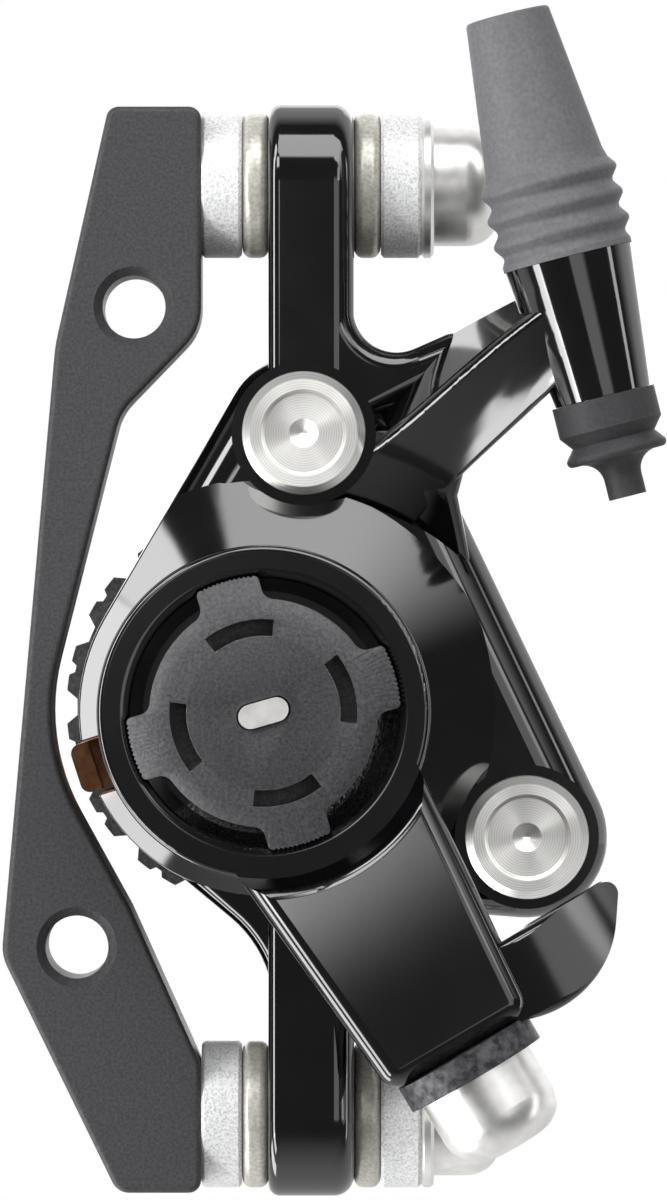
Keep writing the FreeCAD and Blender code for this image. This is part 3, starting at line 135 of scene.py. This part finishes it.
def blastedBevelEnamel():
    # the arm's enamel, a little softer, over a dial recess that was left grit-blasted on its lower right
    look = {
        "gritMm": 0.3, "innerMm": 10.6, "outerMm": 10.9, "bump": 0.9, "deepMm": 0.12,
        "towards": (0.6, 0, -0.8), "fromMm": 2, "toMm": 5,
    }
    softer = {"smooth": 0.1, "hazy": 0.11, "peel": 0.012}
    material, tree, shader, place, wavy = glossEnamel("glossBlackEnamelArm", **softer)
    flat, reach = fromHub(tree, place)
    ring = {"From Min": look["outerMm"] * mm, "From Max": look["innerMm"] * mm}
    inside = add(tree, "ShaderNodeMapRange", ring, {"Value": reach}).outputs["Result"]
    side = add(tree, "ShaderNodeVectorMath", {"operation": "DOT_PRODUCT", 1: look["towards"]}, {0: flat})
    fade = {"From Min": look["fromMm"] * mm, "From Max": look["toMm"] * mm}
    lower = add(tree, "ShaderNodeMapRange", fade, {"Value": side.outputs["Value"]}).outputs["Result"]
    where = add(tree, "ShaderNodeMath", {"operation": "MULTIPLY"}, {0: inside, 1: lower}).outputs[0]
    grit = add(tree, "ShaderNodeTexNoise", {"Scale": perMm(look["gritMm"]), "Detail": 3.0}, {"Vector": place})
    height = add(tree, "ShaderNodeMath", {"operation": "MULTIPLY"}, {0: grit.outputs["Fac"], 1: where})
    deep = {"Strength": look["bump"], "Distance": look["deepMm"] * mm}
    links = {"Height": height.outputs[0], "Normal": wavy.outputs["Normal"]}
    add(tree, "ShaderNodeBump", deep, links, shader.inputs["Normal"])
    return material


def anodisedBlack():
    # bead-blasted and black anodised aluminium: even charcoal with a very fine grain
    look = {
        "dark": "#353537", "light": "#454547", "grainMm": 0.24, "detail": 2.0, "bump": 0.25, "deepMm": 0.03,
    }
    return mottledMaterial("blackAnodisedAluminium", look, Roughness=0.5, IOR=1.45)[0]


def blastedSilver():
    # bead-blasted aluminium: pale silver with a sparkle of fine pits
    look = {
        "dark": "#c0c2c3", "light": "#f9f9f9", "spread": (0.34, 0.56),
        "grainMm": 0.2, "detail": 3.0, "fineness": 0.7, "bump": 0.4, "deepMm": 0.04,
    }
    return mottledMaterial("beadBlastedAluminium", look, Roughness=0.4, Metallic=0.12)[0]


def dullSteel():
    # zinc-phosphated steel: warm grey with a soft sheen
    look = {
        "dark": "#bbb8ae", "light": "#d8d5cb", "grainMm": 0.28, "detail": 2.0, "bump": 0.12, "deepMm": 0.03,
    }
    return mottledMaterial("phosphatedSteel", look, Roughness=0.34, Metallic=0.35)[0]


def polishedSteel():
    # stainless steel, turned and tumbled: mirror-like with a faint haze
    look = {
        "dark": "#ebeae7", "light": "#fdfcfa", "grainMm": 1.6, "detail": 4.0, "smooth": 0.26, "hazy": 0.38,
    }
    return mottledMaterial("polishedStainlessSteel", look, Metallic=0.9)[0]


def turnedSteel(name, centre):
    # faced on a lathe: bright, with fine rings that draw each light out into a wedge across the middle
    look = {"dark": "#e9e8e4", "light": "#fdfcfa", "ringMm": 0.2, "wobble": 0.4, "bump": 0.05, "deepMm": 0.02}
    material, tree, shader = newMaterial(name, Metallic=0.8, Roughness=0.3, Anisotropic=0.95)
    place = add(tree, "ShaderNodeTexCoord").outputs["Object"]
    middle = add(tree, "ShaderNodeMapping", {"Location": (-centre[0], 0, -centre[1])}, {"Vector": place})
    scale = perMm(look["ringMm"]) * math.pi / 10  # a ring wave repeats every 0.1 pi units of its own scale
    settings = {"wave_type": "RINGS", "rings_direction": "Y", "Scale": scale, "Distortion": look["wobble"]}
    rings = add(tree, "ShaderNodeTexWave", settings, {"Vector": middle.outputs["Vector"]}).outputs["Fac"]
    stops = ((0.2, look["dark"]), (0.8, look["light"]))
    add(tree, "ShaderNodeValToRGB", {"stops": stops}, {"Fac": rings}, shader.inputs["Base Color"])
    deep = {"Strength": look["bump"], "Distance": look["deepMm"] * mm}
    add(tree, "ShaderNodeBump", deep, {"Height": rings}, shader.inputs["Normal"])
    add(tree, "ShaderNodeTangent", {"direction_type": "RADIAL", "axis": "Y"}, None, shader.inputs["Tangent"])
    return material


def greyRubber(name, dark, light):
    # moulded rubber: dusty matte grey with faint mottling
    look = {"dark": dark, "light": light, "grainMm": 0.35, "detail": 3.0, "bump": 0.12, "deepMm": 0.04}
    return mottledMaterial(name, look, Roughness=0.6, IOR=1.45)[0]


def grainedPlastic():
    # glass-filled nylon from a spark-eroded mould: dark and sandy, with painted shade on the dial's flat
    # face, and a painted highlight as a pale line along the slots' inner edge
    look = {
        "dark": "#232325", "light": "#4f4f52", "spread": (0.3, 0.7),
        "grainMm": 0.26, "detail": 3.0, "fineness": 0.65, "bump": 0.8, "deepMm": 0.06,
        # faceShade is painted shade: it darkens the dial's flat face inside faceMm
        "faceMm": 6.1, "faceFadeMm": 0.15, "faceShade": 0.75,
        # the pale colour below is a painted highlight on the slots' inner chamfers
        "paintedHighlight": "#d9d9da", "paintedHighlightFromMm": 5.8, "paintedHighlightToMm": 6.02,
        "paintedHighlightAtMm": -16.0, "paintedHighlightHalfMm": 0.09,
    }
    material, tree, shader, place, tint = mottledMaterial("glassFilledNylon", look, Roughness=0.42, IOR=1.55)
    reach = fromHub(tree, place)[1]
    # painted shade: the dial's flat face, inside faceMm of the hub axis, gets faceShade of its colour
    edge = {
        "From Min": (look["faceMm"] - look["faceFadeMm"]) * mm, "From Max": look["faceMm"] * mm,
        "To Min": look["faceShade"], "To Max": 1.0,
    }
    shade = add(tree, "ShaderNodeMapRange", edge, {"Value": reach})
    links = {0: tint.outputs["Color"], "Scale": shade.outputs["Result"]}
    tintWithPaintedShade = add(tree, "ShaderNodeVectorMath", {"operation": "SCALE"}, links)
    # painted highlight: the small chamfers along the slots' inner walls lie in this ring and just behind the
    # face, and are painted pale there
    above = {"operation": "GREATER_THAN", 1: look["paintedHighlightFromMm"] * mm}
    inner = add(tree, "ShaderNodeMath", above, {0: reach})
    below = {"operation": "LESS_THAN", 1: look["paintedHighlightToMm"] * mm}
    outer = add(tree, "ShaderNodeMath", below, {0: reach})
    depth = add(tree, "ShaderNodeSeparateXYZ", None, {"Vector": place})
    band = {"operation": "COMPARE", 1: look["paintedHighlightAtMm"] * mm, 2: look["paintedHighlightHalfMm"] * mm}
    sunk = add(tree, "ShaderNodeMath", band, {0: depth.outputs["Y"]})
    ring = add(tree, "ShaderNodeMath", {"operation": "MULTIPLY"}, {0: inner.outputs[0], 1: outer.outputs[0]})
    paintedHighlight = add(tree, "ShaderNodeMath", {"operation": "MULTIPLY"}, {0: ring.outputs[0], 1: sunk.outputs[0]})
    links = {0: paintedHighlight.outputs[0], 6: tintWithPaintedShade.outputs["Vector"]}  # sockets 6 and 7 are the mix's two colours
    mixed = add(tree, "ShaderNodeMix", {"data_type": "RGBA", 7: linear(look["paintedHighlight"])}, links)
    tree.links.new(mixed.outputs[2], shader.inputs["Base Color"])
    return material


def copperPlate():
    # copper-plated steel backing: dull orange brown with stains
    look = {"dark": "#b8703a", "light": "#eba768", "spread": (0.3, 0.7), "grainMm": 1.2, "detail": 5.0}
    return mottledMaterial("copperPlatedSteel", look, Roughness=0.4, Metallic=0.15)[0]


def frictionCompound():
    # sintered friction compound: dark brown grey with bright metal flecks
    look = {"dark": "#3a3431", "light": "#8d8175", "grainMm": 0.4}
    material, tree, shader = newMaterial("sinteredFrictionCompound", Roughness=0.8)
    place = add(tree, "ShaderNodeTexCoord").outputs["Object"]
    fleck = add(tree, "ShaderNodeTexVoronoi", {"Scale": perMm(look["grainMm"])}, {"Vector": place})
    stops = ((0.0, look["light"]), (1.0, look["dark"]))
    links = {"Fac": fleck.outputs["Distance"]}
    add(tree, "ShaderNodeValToRGB", {"stops": stops}, links, shader.inputs["Base Color"])
    return material


def darkSteel():
    # oil-blacked steel: near black with a worn sheen
    look = {"dark": "#1c1c1d", "light": "#58575b", "grainMm": 0.6, "detail": 4.0, "bump": 0.4, "deepMm": 0.05}
    return mottledMaterial("oilBlackedSteel", look, Roughness=0.45, Metallic=0.4)[0]


steel = polishedSteel()
armEnamel = blastedBevelEnamel()
finishes = {
    "gloss_casting": glossEnamel("glossBlackEnamel")[0],
    "anodised_bracket": anodisedBlack(),
    "dished_washers": blastedSilver(),
    "domed_washers": dullSteel(),
    "polished_bolts": steel,
    "plain_steel": steel,
    "grey_rubber": greyRubber("mouldedGreyRubber", "#626265", "#6e6e71"),
    "black_plastic": grainedPlastic(),
    "coppered_backing": copperPlate(),
    "friction_lining": frictionCompound(),
    "dark_steel": darkSteel(),
}
ownFinish = {name: turnedSteel("turnedSteel_" + name, centre) for name, centre in boltPlaces.items()}
ownFinish["cable_seal"] = greyRubber("mouldedDarkRubber", "#313133", "#3a3a3c")
for entry in frame["record"]["subparts"]:
    name = entry["node"]
    nodes[name].data.materials.clear()
    nodes[name].data.materials.append(ownFinish.get(name, finishes[entry["material_slot"]]))
print("materials set")


# Steps that the pieces share

def clearSelection():
    bpy.ops.object.select_all(action="DESELECT")


def faceOutwards():
    bpy.ops.object.mode_set(mode="EDIT")
    bpy.ops.mesh.select_all(action="SELECT")
    bpy.ops.mesh.normals_make_consistent(inside=False)
    bpy.ops.object.mode_set(mode="OBJECT")


def roundEdges(piece, look):
    rounding = piece.modifiers.new("edge", "BEVEL")
    rounding.width = look["edge"] * mm
    rounding.segments = look["edgeSteps"]
    rounding.limit_method = "ANGLE"
    rounding.angle_limit = math.radians(look["edgeOverDeg"])


def applyAll(piece, look):
    clearSelection()
    piece.select_set(True)
    bpy.context.view_layer.objects.active = piece
    for modifier in list(piece.modifiers):
        bpy.ops.object.modifier_apply(modifier=modifier.name)
    bpy.ops.object.shade_smooth_by_angle(angle=math.radians(look["smoothDeg"]))


# Adjuster knob: a flat disc with arc slots, and a ring sloping back to four lobes with flared roots

knobLook = {
    "discR": 7.4, "ringR": 8.9, "lobeR": 10.7, "lobeHalf": 2.5, "flareR": 1.0, "tipR": 0.4,
    "frontMm": -16.1, "backMm": -12.5, "slope": 1.2, "turnDeg": 16,
    "toothMm": 0.35, "toothDeep": 0.1, "tipSteps": 5, "flareSteps": 8, "gapSteps": 12,
    "slotInner": 6.0, "slotOuter": 7.3, "slotDeg": 45, "slotDeep": 3.2, "slotSteps": 18, "slotAbove": 1.0,
    "eyeLong": 4.3, "eyeWide": 2.1, "eyeSides": 48, "eyeDeep": 10,
    "edge": 0.14, "edgeSteps": 2, "edgeOverDeg": 40, "smoothDeg": 35,
}


def lobeOutline(look):
    # one half of a lobe, from the middle of its tip round to the middle of the gap, as radius and angle
    lobeR, half, flareR, ringR, tipR = (look[key] for key in ("lobeR", "lobeHalf", "flareR", "ringR", "tipR"))
    points = []
    cornerV = half - tipR
    cornerU = math.sqrt((lobeR - tipR) ** 2 - cornerV ** 2)
    cornerAngle = math.atan2(cornerV, cornerU)
    toothPoints = round(cornerAngle * lobeR / look["toothMm"]) * 4
    for step in range(toothPoints):  # four points to a tooth, the middle two set in
        inward = look["toothDeep"] if step % 4 in (1, 2) else 0
        points.append((lobeR - inward, cornerAngle * step / toothPoints))
    for step in range(look["tipSteps"] + 1):
        bend = cornerAngle + (math.pi / 2 - cornerAngle) * step / look["tipSteps"]
        u, v = cornerU + tipR * math.cos(bend), cornerV + tipR * math.sin(bend)
        points.append((math.hypot(u, v), math.atan2(v, u)))
    flareV = half + flareR
    flareU = math.sqrt((ringR + flareR) ** 2 - flareV ** 2)
    end = math.atan2(flareV, flareU) - math.pi
    for step in range(look["flareSteps"] + 1):
        bend = -math.pi / 2 + (end + math.pi / 2) * step / look["flareSteps"]
        u, v = flareU + flareR * math.cos(bend), flareV + flareR * math.sin(bend)
        points.append((math.hypot(u, v), math.atan2(v, u)))
    last = points[-1][1]
    for step in range(1, look["gapSteps"] + 1):
        points.append((ringR, last + (math.pi / 4 - last) * step / look["gapSteps"]))
    return points


def hubPoint(radiusMm, angle, depthMm):
    return hub + Vector((radiusMm * math.cos(angle), depthMm, radiusMm * math.sin(angle))) * mm


def makeKnob(look):
    half = lobeOutline(look)
    quarter = [(r, -a) for r, a in reversed(half[1:])] + half[:-1]
    turn = math.radians(look["turnDeg"])
    rim = [(r, turn + a + k * math.pi / 2) for k in range(4) for r, a in quarter]
    clearSelection()
    bpy.ops.mesh.primitive_circle_add(vertices=len(rim), radius=look["discR"] * mm, fill_type="NGON")
    knob = bpy.context.object
    knob.name = "adjusterKnob"
    mesh = knob.data
    for vertex, (r, a) in zip(mesh.vertices, rim):
        vertex.co = hubPoint(look["discR"], a, look["frontMm"])
    fall = look["slope"] / (look["lobeR"] - look["discR"])
    rings = [
        [(r, a, look["frontMm"] + fall * (r - look["discR"])) for r, a in rim],
        [(r, a, look["backMm"]) for r, a in rim],
    ]
    for ring in rings:
        before = len(mesh.vertices)
        bpy.ops.object.mode_set(mode="EDIT")
        if ring is rings[0]:
            bpy.ops.mesh.select_all(action="SELECT")
            bpy.ops.mesh.region_to_loop()
        bpy.ops.mesh.extrude_edges_move()
        bpy.ops.object.mode_set(mode="OBJECT")
        partner = {}
        for edge in mesh.edges:
            low, high = sorted(edge.vertices)
            if low < before <= high:
                partner[high] = low
        order = {i: i for i in range(len(rim))} if ring is rings[0] else order
        order = {new: order[old] for new, old in partner.items()}
        for new, place in order.items():
            mesh.vertices[new].co = hubPoint(*ring[place])
    bpy.ops.object.mode_set(mode="EDIT")
    bpy.ops.mesh.edge_face_add()  # the last ring is still selected: close the back
    faceOutwards()
    return knob


def arcCutter(look, middle):
    # a square section swept about the hub axis
    clearSelection()
    bpy.ops.mesh.primitive_plane_add(size=1)
    cutter = bpy.context.object
    sweep = math.radians(look["slotDeg"])
    inner, outer = look["slotInner"], look["slotOuter"]
    near, far = look["frontMm"] - look["slotAbove"], look["frontMm"] + look["slotDeep"]
    corners = [(inner, near), (outer, near), (inner, far), (outer, far)]
    for vertex, (r, depth) in zip(cutter.data.vertices, corners):
        vertex.co = hubPoint(r, middle - sweep / 2, depth)
    bpy.ops.object.mode_set(mode="EDIT")
    bpy.ops.mesh.select_all(action="SELECT")
    bpy.ops.mesh.spin(steps=look["slotSteps"], angle=sweep, center=hub, axis=(0, -1, 0))
    bpy.ops.mesh.select_all(action="SELECT")
    bpy.ops.mesh.remove_doubles(threshold=weld)
    faceOutwards()
    return cutter


def eyeCutter(look):
    # the flat-sided hole that the spindle stands in
    clearSelection()
    bpy.ops.mesh.primitive_cylinder_add(
        vertices=look["eyeSides"], radius=look["eyeWide"] / 2 * mm, depth=look["eyeDeep"] * mm,
    )
    cutter = bpy.context.object
    turn = math.radians(look["turnDeg"])
    slide = (look["eyeLong"] - look["eyeWide"]) / 2 * mm
    for vertex in cutter.data.vertices:
        x, z, depth = vertex.co.x, vertex.co.y, vertex.co.z
        x += slide if x > 0 else -slide
        vertex.co = (
            hubX + x * math.cos(turn) - z * math.sin(turn),
            look["frontMm"] * mm + depth,
            hubZ + x * math.sin(turn) + z * math.cos(turn),
        )
    faceOutwards()
    return cutter


knob = makeKnob(knobLook)
gaps = [math.radians(knobLook["turnDeg"] + 45 + 90 * k) for k in range(4)]  # halfway from lobe to lobe
cutters = [arcCutter(knobLook, middle) for middle in gaps]
cutters.append(eyeCutter(knobLook))
for cutter in cutters:
    cutting = knob.modifiers.new("cut", "BOOLEAN")
    cutting.operation = "DIFFERENCE"
    cutting.solver = "EXACT"
    cutting.object = cutter
roundEdges(knob, knobLook)
applyAll(knob, knobLook)
for cutter in cutters:
    bpy.data.objects.remove(cutter)
knob.data.materials.clear()
knob.data.materials.append(finishes["black_plastic"])
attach(knob, "outboard_knob")
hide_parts("outboard_knob")
print("knob made:", len(knob.data.polygons), "faces")


# Torque arm: the cast arm with its broad front crowned along its length and the dial recess's brim rounded

armLook = {
    "dropDeg": 59.6, "endMm": 30.75, "frontMm": 14.6, "floorMm": 12.3, "crownMm": 192.0,
    "cutFromMm": 12.0, "cutStepMm": 2.0, "cuts": 9,
    "brimMm": 10.8, "brimRound": 0.5, "brimSteps": 5, "wallDeg": 45, "hubFrontMm": 12.2,
    "closeMm": 0.03, "offSolidMm": 0.004,
}


def onBrim(point, look):
    reachOff = math.hypot(point.x - hubX, point.z - hubZ) / mm - look["brimMm"]
    depthOff = point.y / mm + look["hubFrontMm"]
    return max(abs(reachOff), abs(depthOff)) < look["closeMm"]


def brimNormal(point, look):
    # leans in from the flat ring to the recess's sloping wall
    wall = math.radians(look["wallDeg"])
    radial = point - hub
    radial.y = 0
    width = (1 + math.cos(wall)) * look["brimRound"]
    inset = (look["brimMm"] + look["brimRound"] - radial.length / mm) / width
    lean = wall * min(max(inset, 0), 1)
    return Vector((0, -math.cos(lean), 0)) - radial.normalized() * math.sin(lean)


def castNormals(mesh, look):
    # the casting's own normals, read back from the solid's triangles
    solid = nodes["torque_arm"].data
    triangles = [polygon.vertices[:] for polygon in solid.polygons]
    nearest = BVHTree.FromPolygons([vertex.co for vertex in solid.vertices], triangles)
    normals = [None] * len(mesh.loops)
    for polygon in mesh.polygons:
        index, distance = nearest.find_nearest(polygon.center)[2:]
        source = solid.polygons[index]
        corners = [solid.vertices[i].co for i in source.vertices]
        slopes = [solid.corner_normals[i].vector for i in source.loop_indices]
        for i in polygon.loop_indices:
            point = mesh.vertices[mesh.loops[i].vertex_index].co
            if distance > look["offSolidMm"] * mm:  # only the rounded brim leaves the solid
                normals[i] = brimNormal(point, look)
            else:
                normals[i] = barycentric_transform(point, *corners, *slopes)
    return normals


def makeArm(look):
    clearSelection()
    arm = bpy.data.objects.new("castArm", nodes["torque_arm"].data.copy())
    scene.collection.objects.link(arm)
    arm.select_set(True)
    bpy.context.view_layer.objects.active = arm
    mesh = arm.data
    drop = math.radians(look["dropDeg"])
    along = Vector((math.cos(drop), 0, -math.sin(drop)))
    bpy.ops.object.mode_set(mode="EDIT")
    bpy.ops.mesh.select_all(action="SELECT")
    bpy.ops.mesh.remove_doubles(threshold=weld)
    bpy.ops.mesh.select_all(action="DESELECT")
    bpy.ops.object.mode_set(mode="OBJECT")
    for edge in mesh.edges:
        edge.select = all(onBrim(mesh.vertices[i].co, look) for i in edge.vertices)
    bpy.ops.object.mode_set(mode="EDIT")
    bpy.ops.mesh.select_mode(type="EDGE")
    bpy.ops.mesh.bevel(offset=look["brimRound"] * mm, segments=look["brimSteps"], affect="EDGES")
    bpy.ops.mesh.select_mode(type="VERT")
    for step in range(look["cuts"]):
        place = hub + along * (look["cutFromMm"] + look["cutStepMm"] * step) * mm
        bpy.ops.mesh.select_all(action="SELECT")
        bpy.ops.mesh.bisect(plane_co=place, plane_no=along)
    bpy.ops.object.mode_set(mode="OBJECT")
    normals = castNormals(mesh, look)
    lifts = []
    for vertex in mesh.vertices:
        reach = max((vertex.co - hub).dot(along) / mm, 0)
        share = (-vertex.co.y / mm - look["floorMm"]) / (look["frontMm"] - look["floorMm"])
        lifts.append((max(share, 0) if reach else 0, look["endMm"] - reach))
    for vertex, (share, left) in zip(mesh.vertices, lifts):
        vertex.co.y += share * left ** 2 / (2 * look["crownMm"]) * mm
    for i, loop in enumerate(mesh.loops):
        share, left = lifts[loop.vertex_index]
        normals[i] = (normals[i] + along * (normals[i].y * share * left / look["crownMm"])).normalized()
    mesh.polygons.foreach_set("use_smooth", [True] * len(mesh.polygons))
    mesh.normals_split_custom_set(normals)
    return arm


arm = makeArm(armLook)
arm.data.materials.clear()
arm.data.materials.append(armEnamel)
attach(arm, "torque_arm")
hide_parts("torque_arm")
print("arm made:", len(arm.data.polygons), "faces")


# Strut web: carries the strut's front face down to the dome and rounds the corner under the strut

webLook = {
    "outline": [(22.8, 8.6), (25.2, 6.8), (29.1, 4.4), (27.9, 10.4), (28.6, 13.2), (23.6, 11.4)],
    "atX": 24.0, "atZ": 10.5, "frontMm": -5.25, "slopeX": -0.27, "slopeZ": -0.54, "backMm": -1.2,
    "sunk": (4, 5), "sinkMm": 0.12,  # these corners of the outline lie inside the strut
    "edge": 0.9, "edgeSteps": 8, "edgeOverDeg": 40, "smoothDeg": 40,
}


def makeWeb(look):
    clearSelection()
    bpy.ops.mesh.primitive_circle_add(vertices=len(look["outline"]), radius=mm, fill_type="NGON")
    web = bpy.context.object
    web.name = "castWeb"
    for i, (x, z) in enumerate(look["outline"]):
        depth = look["frontMm"] + look["slopeX"] * (x - look["atX"]) + look["slopeZ"] * (z - look["atZ"])
        depth += look["sinkMm"] if i in look["sunk"] else 0
        web.data.vertices[i].co = (x * mm, depth * mm, z * mm)
    bpy.ops.object.mode_set(mode="EDIT")
    bpy.ops.mesh.select_all(action="SELECT")
    bpy.ops.mesh.extrude_region_move()
    bpy.ops.object.mode_set(mode="OBJECT")
    for vertex in web.data.vertices:
        if vertex.select:
            vertex.co.y = look["backMm"] * mm
    faceOutwards()
    roundEdges(web, look)
    applyAll(web, look)
    return web


web = makeWeb(webLook)
web.data.materials.clear()
web.data.materials.append(finishes["gloss_casting"])
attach(web, "caliper")
print("web made:", len(web.data.polygons), "faces")


# Stage: pale floor, white surroundings, soft boxes at a plain level

stageLook = {
    "floorZ": -0.8, "floorSize": 12.0, "floorColour": "#e8e8e8", "floorGlow": 1.0, "floorShare": 0.85,
    "floorBehind": (-0.4, 0.1), "worldColour": "#bfbfbf", "worldStrength": 0.18, "worldBehind": (0.0, 0.35),
    "lampLevel": 0.88, "target": (0.015, 0, 0),
}


def whiteRays(tree, where, behind):
    # 1 for the camera, and for rays off metal and through glass as far as they look behind the object
    rays = add(tree, "ShaderNodeLightPath")
    parts = add(tree, "ShaderNodeSeparateXYZ", None, {"Vector": where})
    fade = {"From Min": behind[0], "From Max": behind[1]}
    back = add(tree, "ShaderNodeMapRange", fade, {"Value": parts.outputs["Y"]}).outputs["Result"]
    links = {0: rays.outputs["Is Glossy Ray"], 1: rays.outputs["Is Transmission Ray"]}
    mirrored = add(tree, "ShaderNodeMath", {"operation": "MAXIMUM"}, links).outputs[0]
    shown = add(tree, "ShaderNodeMath", {"operation": "MULTIPLY"}, {0: mirrored, 1: back}).outputs[0]
    links = {0: shown, 1: rays.outputs["Is Camera Ray"]}
    return add(tree, "ShaderNodeMath", {"operation": "MAXIMUM"}, links).outputs[0]


clearSelection()
bpy.ops.mesh.primitive_plane_add(size=stageLook["floorSize"], location=(0, 0, stageLook["floorZ"]))
floor = bpy.context.object
floor.name = "paleFloor"
floorPaint, tree, shader = newMaterial("paleStudioFloor", Roughness=0.9)
floorColour = linear(stageLook["floorColour"])
shader.inputs["Base Color"].default_value = floorColour
# pale to the camera and in reflections, without lighting the object
glow = add(tree, "ShaderNodeEmission", {"Color": floorColour, "Strength": stageLook["floorGlow"]})
white = whiteRays(tree, add(tree, "ShaderNodeTexCoord").outputs["Object"], stageLook["floorBehind"])
share = add(tree, "ShaderNodeMath", {"operation": "MULTIPLY", 1: stageLook["floorShare"]}, {0: white})
links = {0: share.outputs[0], 1: shader.outputs[0], 2: glow.outputs[0]}
add(tree, "ShaderNodeMixShader", None, links, tree.nodes["Material Output"].inputs["Surface"])
floor.data.materials.append(floorPaint)

world = bpy.data.worlds.new("studio")
scene.world = world
world.use_nodes = True
tree = world.node_tree
surround = tree.nodes["Background"]
surround.inputs["Color"].default_value = linear(stageLook["worldColour"])
surround.inputs["Strength"].default_value = stageLook["worldStrength"]
backdrop = add(tree, "ShaderNodeBackground", {"Color": (1, 1, 1, 1), "Strength": 1.0})
white = whiteRays(tree, add(tree, "ShaderNodeTexCoord").outputs["Generated"], stageLook["worldBehind"])
links = {0: white, 1: surround.outputs[0], 2: backdrop.outputs[0]}
add(tree, "ShaderNodeMixShader", None, links, tree.nodes["World Output"].inputs["Surface"])
print("floor and world set")

# places and sizes in metres; fades are the shares of a box at its start, end, bottom and top
# over which it dims to nothing
lamps = {
    "leftBox": {
        "place": (-0.52, -0.32, 0.03), "size": (0.16, 0.72), "radiance": 9.0,
        "fades": (0, 0, 0.05, 0.05), "across": (0.5, -0.85, 0),
    },
    "lowCornerBox": {
        "place": (-0.483, -0.375, -0.435), "size": (0.4, 0.2), "radiance": 8.0,
        "fades": (0.08, 0.08, 0.1, 0.1), "across": (0.669, 0, -0.743),
    },
    "cornerBox": {
        "place": (-0.418, -0.375, 0.497), "size": (0.3, 0.2), "radiance": 8.0,
        "fades": (0.1, 0.1, 0.1, 0.1), "across": (-0.766, 0, -0.643),
    },
    "lowLeftBox": {
        "place": (-0.55, 0.03, -0.55), "size": (0.35, 0.7), "radiance": 7.0,
        "fades": (0.15, 0.15, 0.15, 0.15), "across": (0, -1, 0),
    },
    "topBox": {
        "place": (0.296, -0.462, 0.512), "size": (1.12, 0.5), "radiance": 4.2,
        "fades": (0.05, 0.55, 0.1, 0), "across": (0.866, 0, -0.5),
    },
    "rightBox": {
        "place": (0.82, -0.16, 0.0), "size": (0.1, 0.9), "radiance": 4.0,
        "fades": (0, 0, 0.2, 0.2), "across": (0.2, -0.98, 0),
    },
    "frontPanel": {
        "place": (0.33, -1.0, 0.0), "size": (0.56, 0.5), "radiance": 1.1,
        "fades": (0.1, 0.3, 0.1, 0.1), "across": (1, 0, 0),
    },
    "backBox": {
        "place": (0.0, 1.0, 0.35), "size": (1.2, 1.0), "radiance": 1.5,
        "fades": (0.1, 0.1, 0.1, 0.1), "across": (1, 0, 0),
    },
    "hornPanel": {
        "place": (0.45, -0.87, 0.27), "size": (0.3, 0.3), "radiance": 3.0,
        "fades": (0.3, 0.3, 0.3, 0.3), "across": (1, 0, 0),
    },
    "armGlow": {
        "place": (-0.12, -1.0, 0.1), "size": (0.26, 0.26), "radiance": 4.4,
        "fades": (0.5, 0.5, 0.5, 0.5), "across": (1, 0, 0),
    },
    "knobPanel": {
        "place": (-0.28, -0.78, 0.48), "size": (0.34, 0.3), "radiance": 6.5,
        "fades": (0.2, 0.2, 0.2, 0.2), "across": (1, 0, 0),
    },
}


def softBox(name, look):
    light = bpy.data.lights.new(name, "AREA")
    light.shape = "RECTANGLE"
    light.size, light.size_y = look["size"]
    light.energy = stageLook["lampLevel"] * look["radiance"] * math.pi * light.size * light.size_y
    light.use_nodes = True
    tree = light.node_tree
    spot = add(tree, "ShaderNodeNewGeometry").outputs["Parametric"]
    parts = add(tree, "ShaderNodeSeparateXYZ", None, {"Vector": spot})
    level = add(tree, "ShaderNodeValue")
    level.outputs[0].default_value = 1
    start, end, bottom, top = look["fades"]
    for axis, dark, full in (("X", 0, start), ("X", 1, 1 - end), ("Y", 0, bottom), ("Y", 1, 1 - top)):
        if dark != full:
            dim = {"interpolation_type": "SMOOTHSTEP", "From Min": dark, "From Max": full}
            ramp = add(tree, "ShaderNodeMapRange", dim, {"Value": parts.outputs[axis]})
            links = {0: level.outputs[0], 1: ramp.outputs[0]}
            level = add(tree, "ShaderNodeMath", {"operation": "MULTIPLY"}, links)
    tree.links.new(level.outputs[0], tree.nodes["Emission"].inputs["Strength"])
    lamp = bpy.data.objects.new(name, light)
    scene.collection.objects.link(lamp)
    lamp.location = look["place"]
    back = (lamp.location - Vector(stageLook["target"])).normalized()
    across = Vector(look["across"])
    side = (across - back * back.dot(across)).normalized()
    lamp.rotation_euler = Matrix((side, back.cross(side), back)).transposed().to_euler()
    lamp.visible_camera = False


for name, look in lamps.items():
    softBox(name, look)
print("lamps set:", len(lamps))

# Camera: the photograph's frame is 667 by 1200, and 12.6 of its pixels are 1 mm on the bracket's face
cameraLook = {
    "distance": 0.8, "centreX": 18.1 * mm, "centreZ": 2.14 * mm, "height": 1200 / 12.6 * mm,
    "sensorMm": 36, "farthest": 50,
}
camera = bpy.data.cameras.new("camera")
camera.sensor_fit = "VERTICAL"
camera.sensor_height = cameraLook["sensorMm"]
camera.lens = cameraLook["sensorMm"] * cameraLook["distance"] / cameraLook["height"]
camera.clip_end = cameraLook["farthest"]
eye = bpy.data.objects.new("camera", camera)
scene.collection.objects.link(eye)
eye.location = (cameraLook["centreX"], -cameraLook["distance"], cameraLook["centreZ"])
eye.rotation_euler = (math.pi / 2, 0, 0)
scene.camera = eye

scene.view_settings.view_transform = "Standard"
print("scene ready")
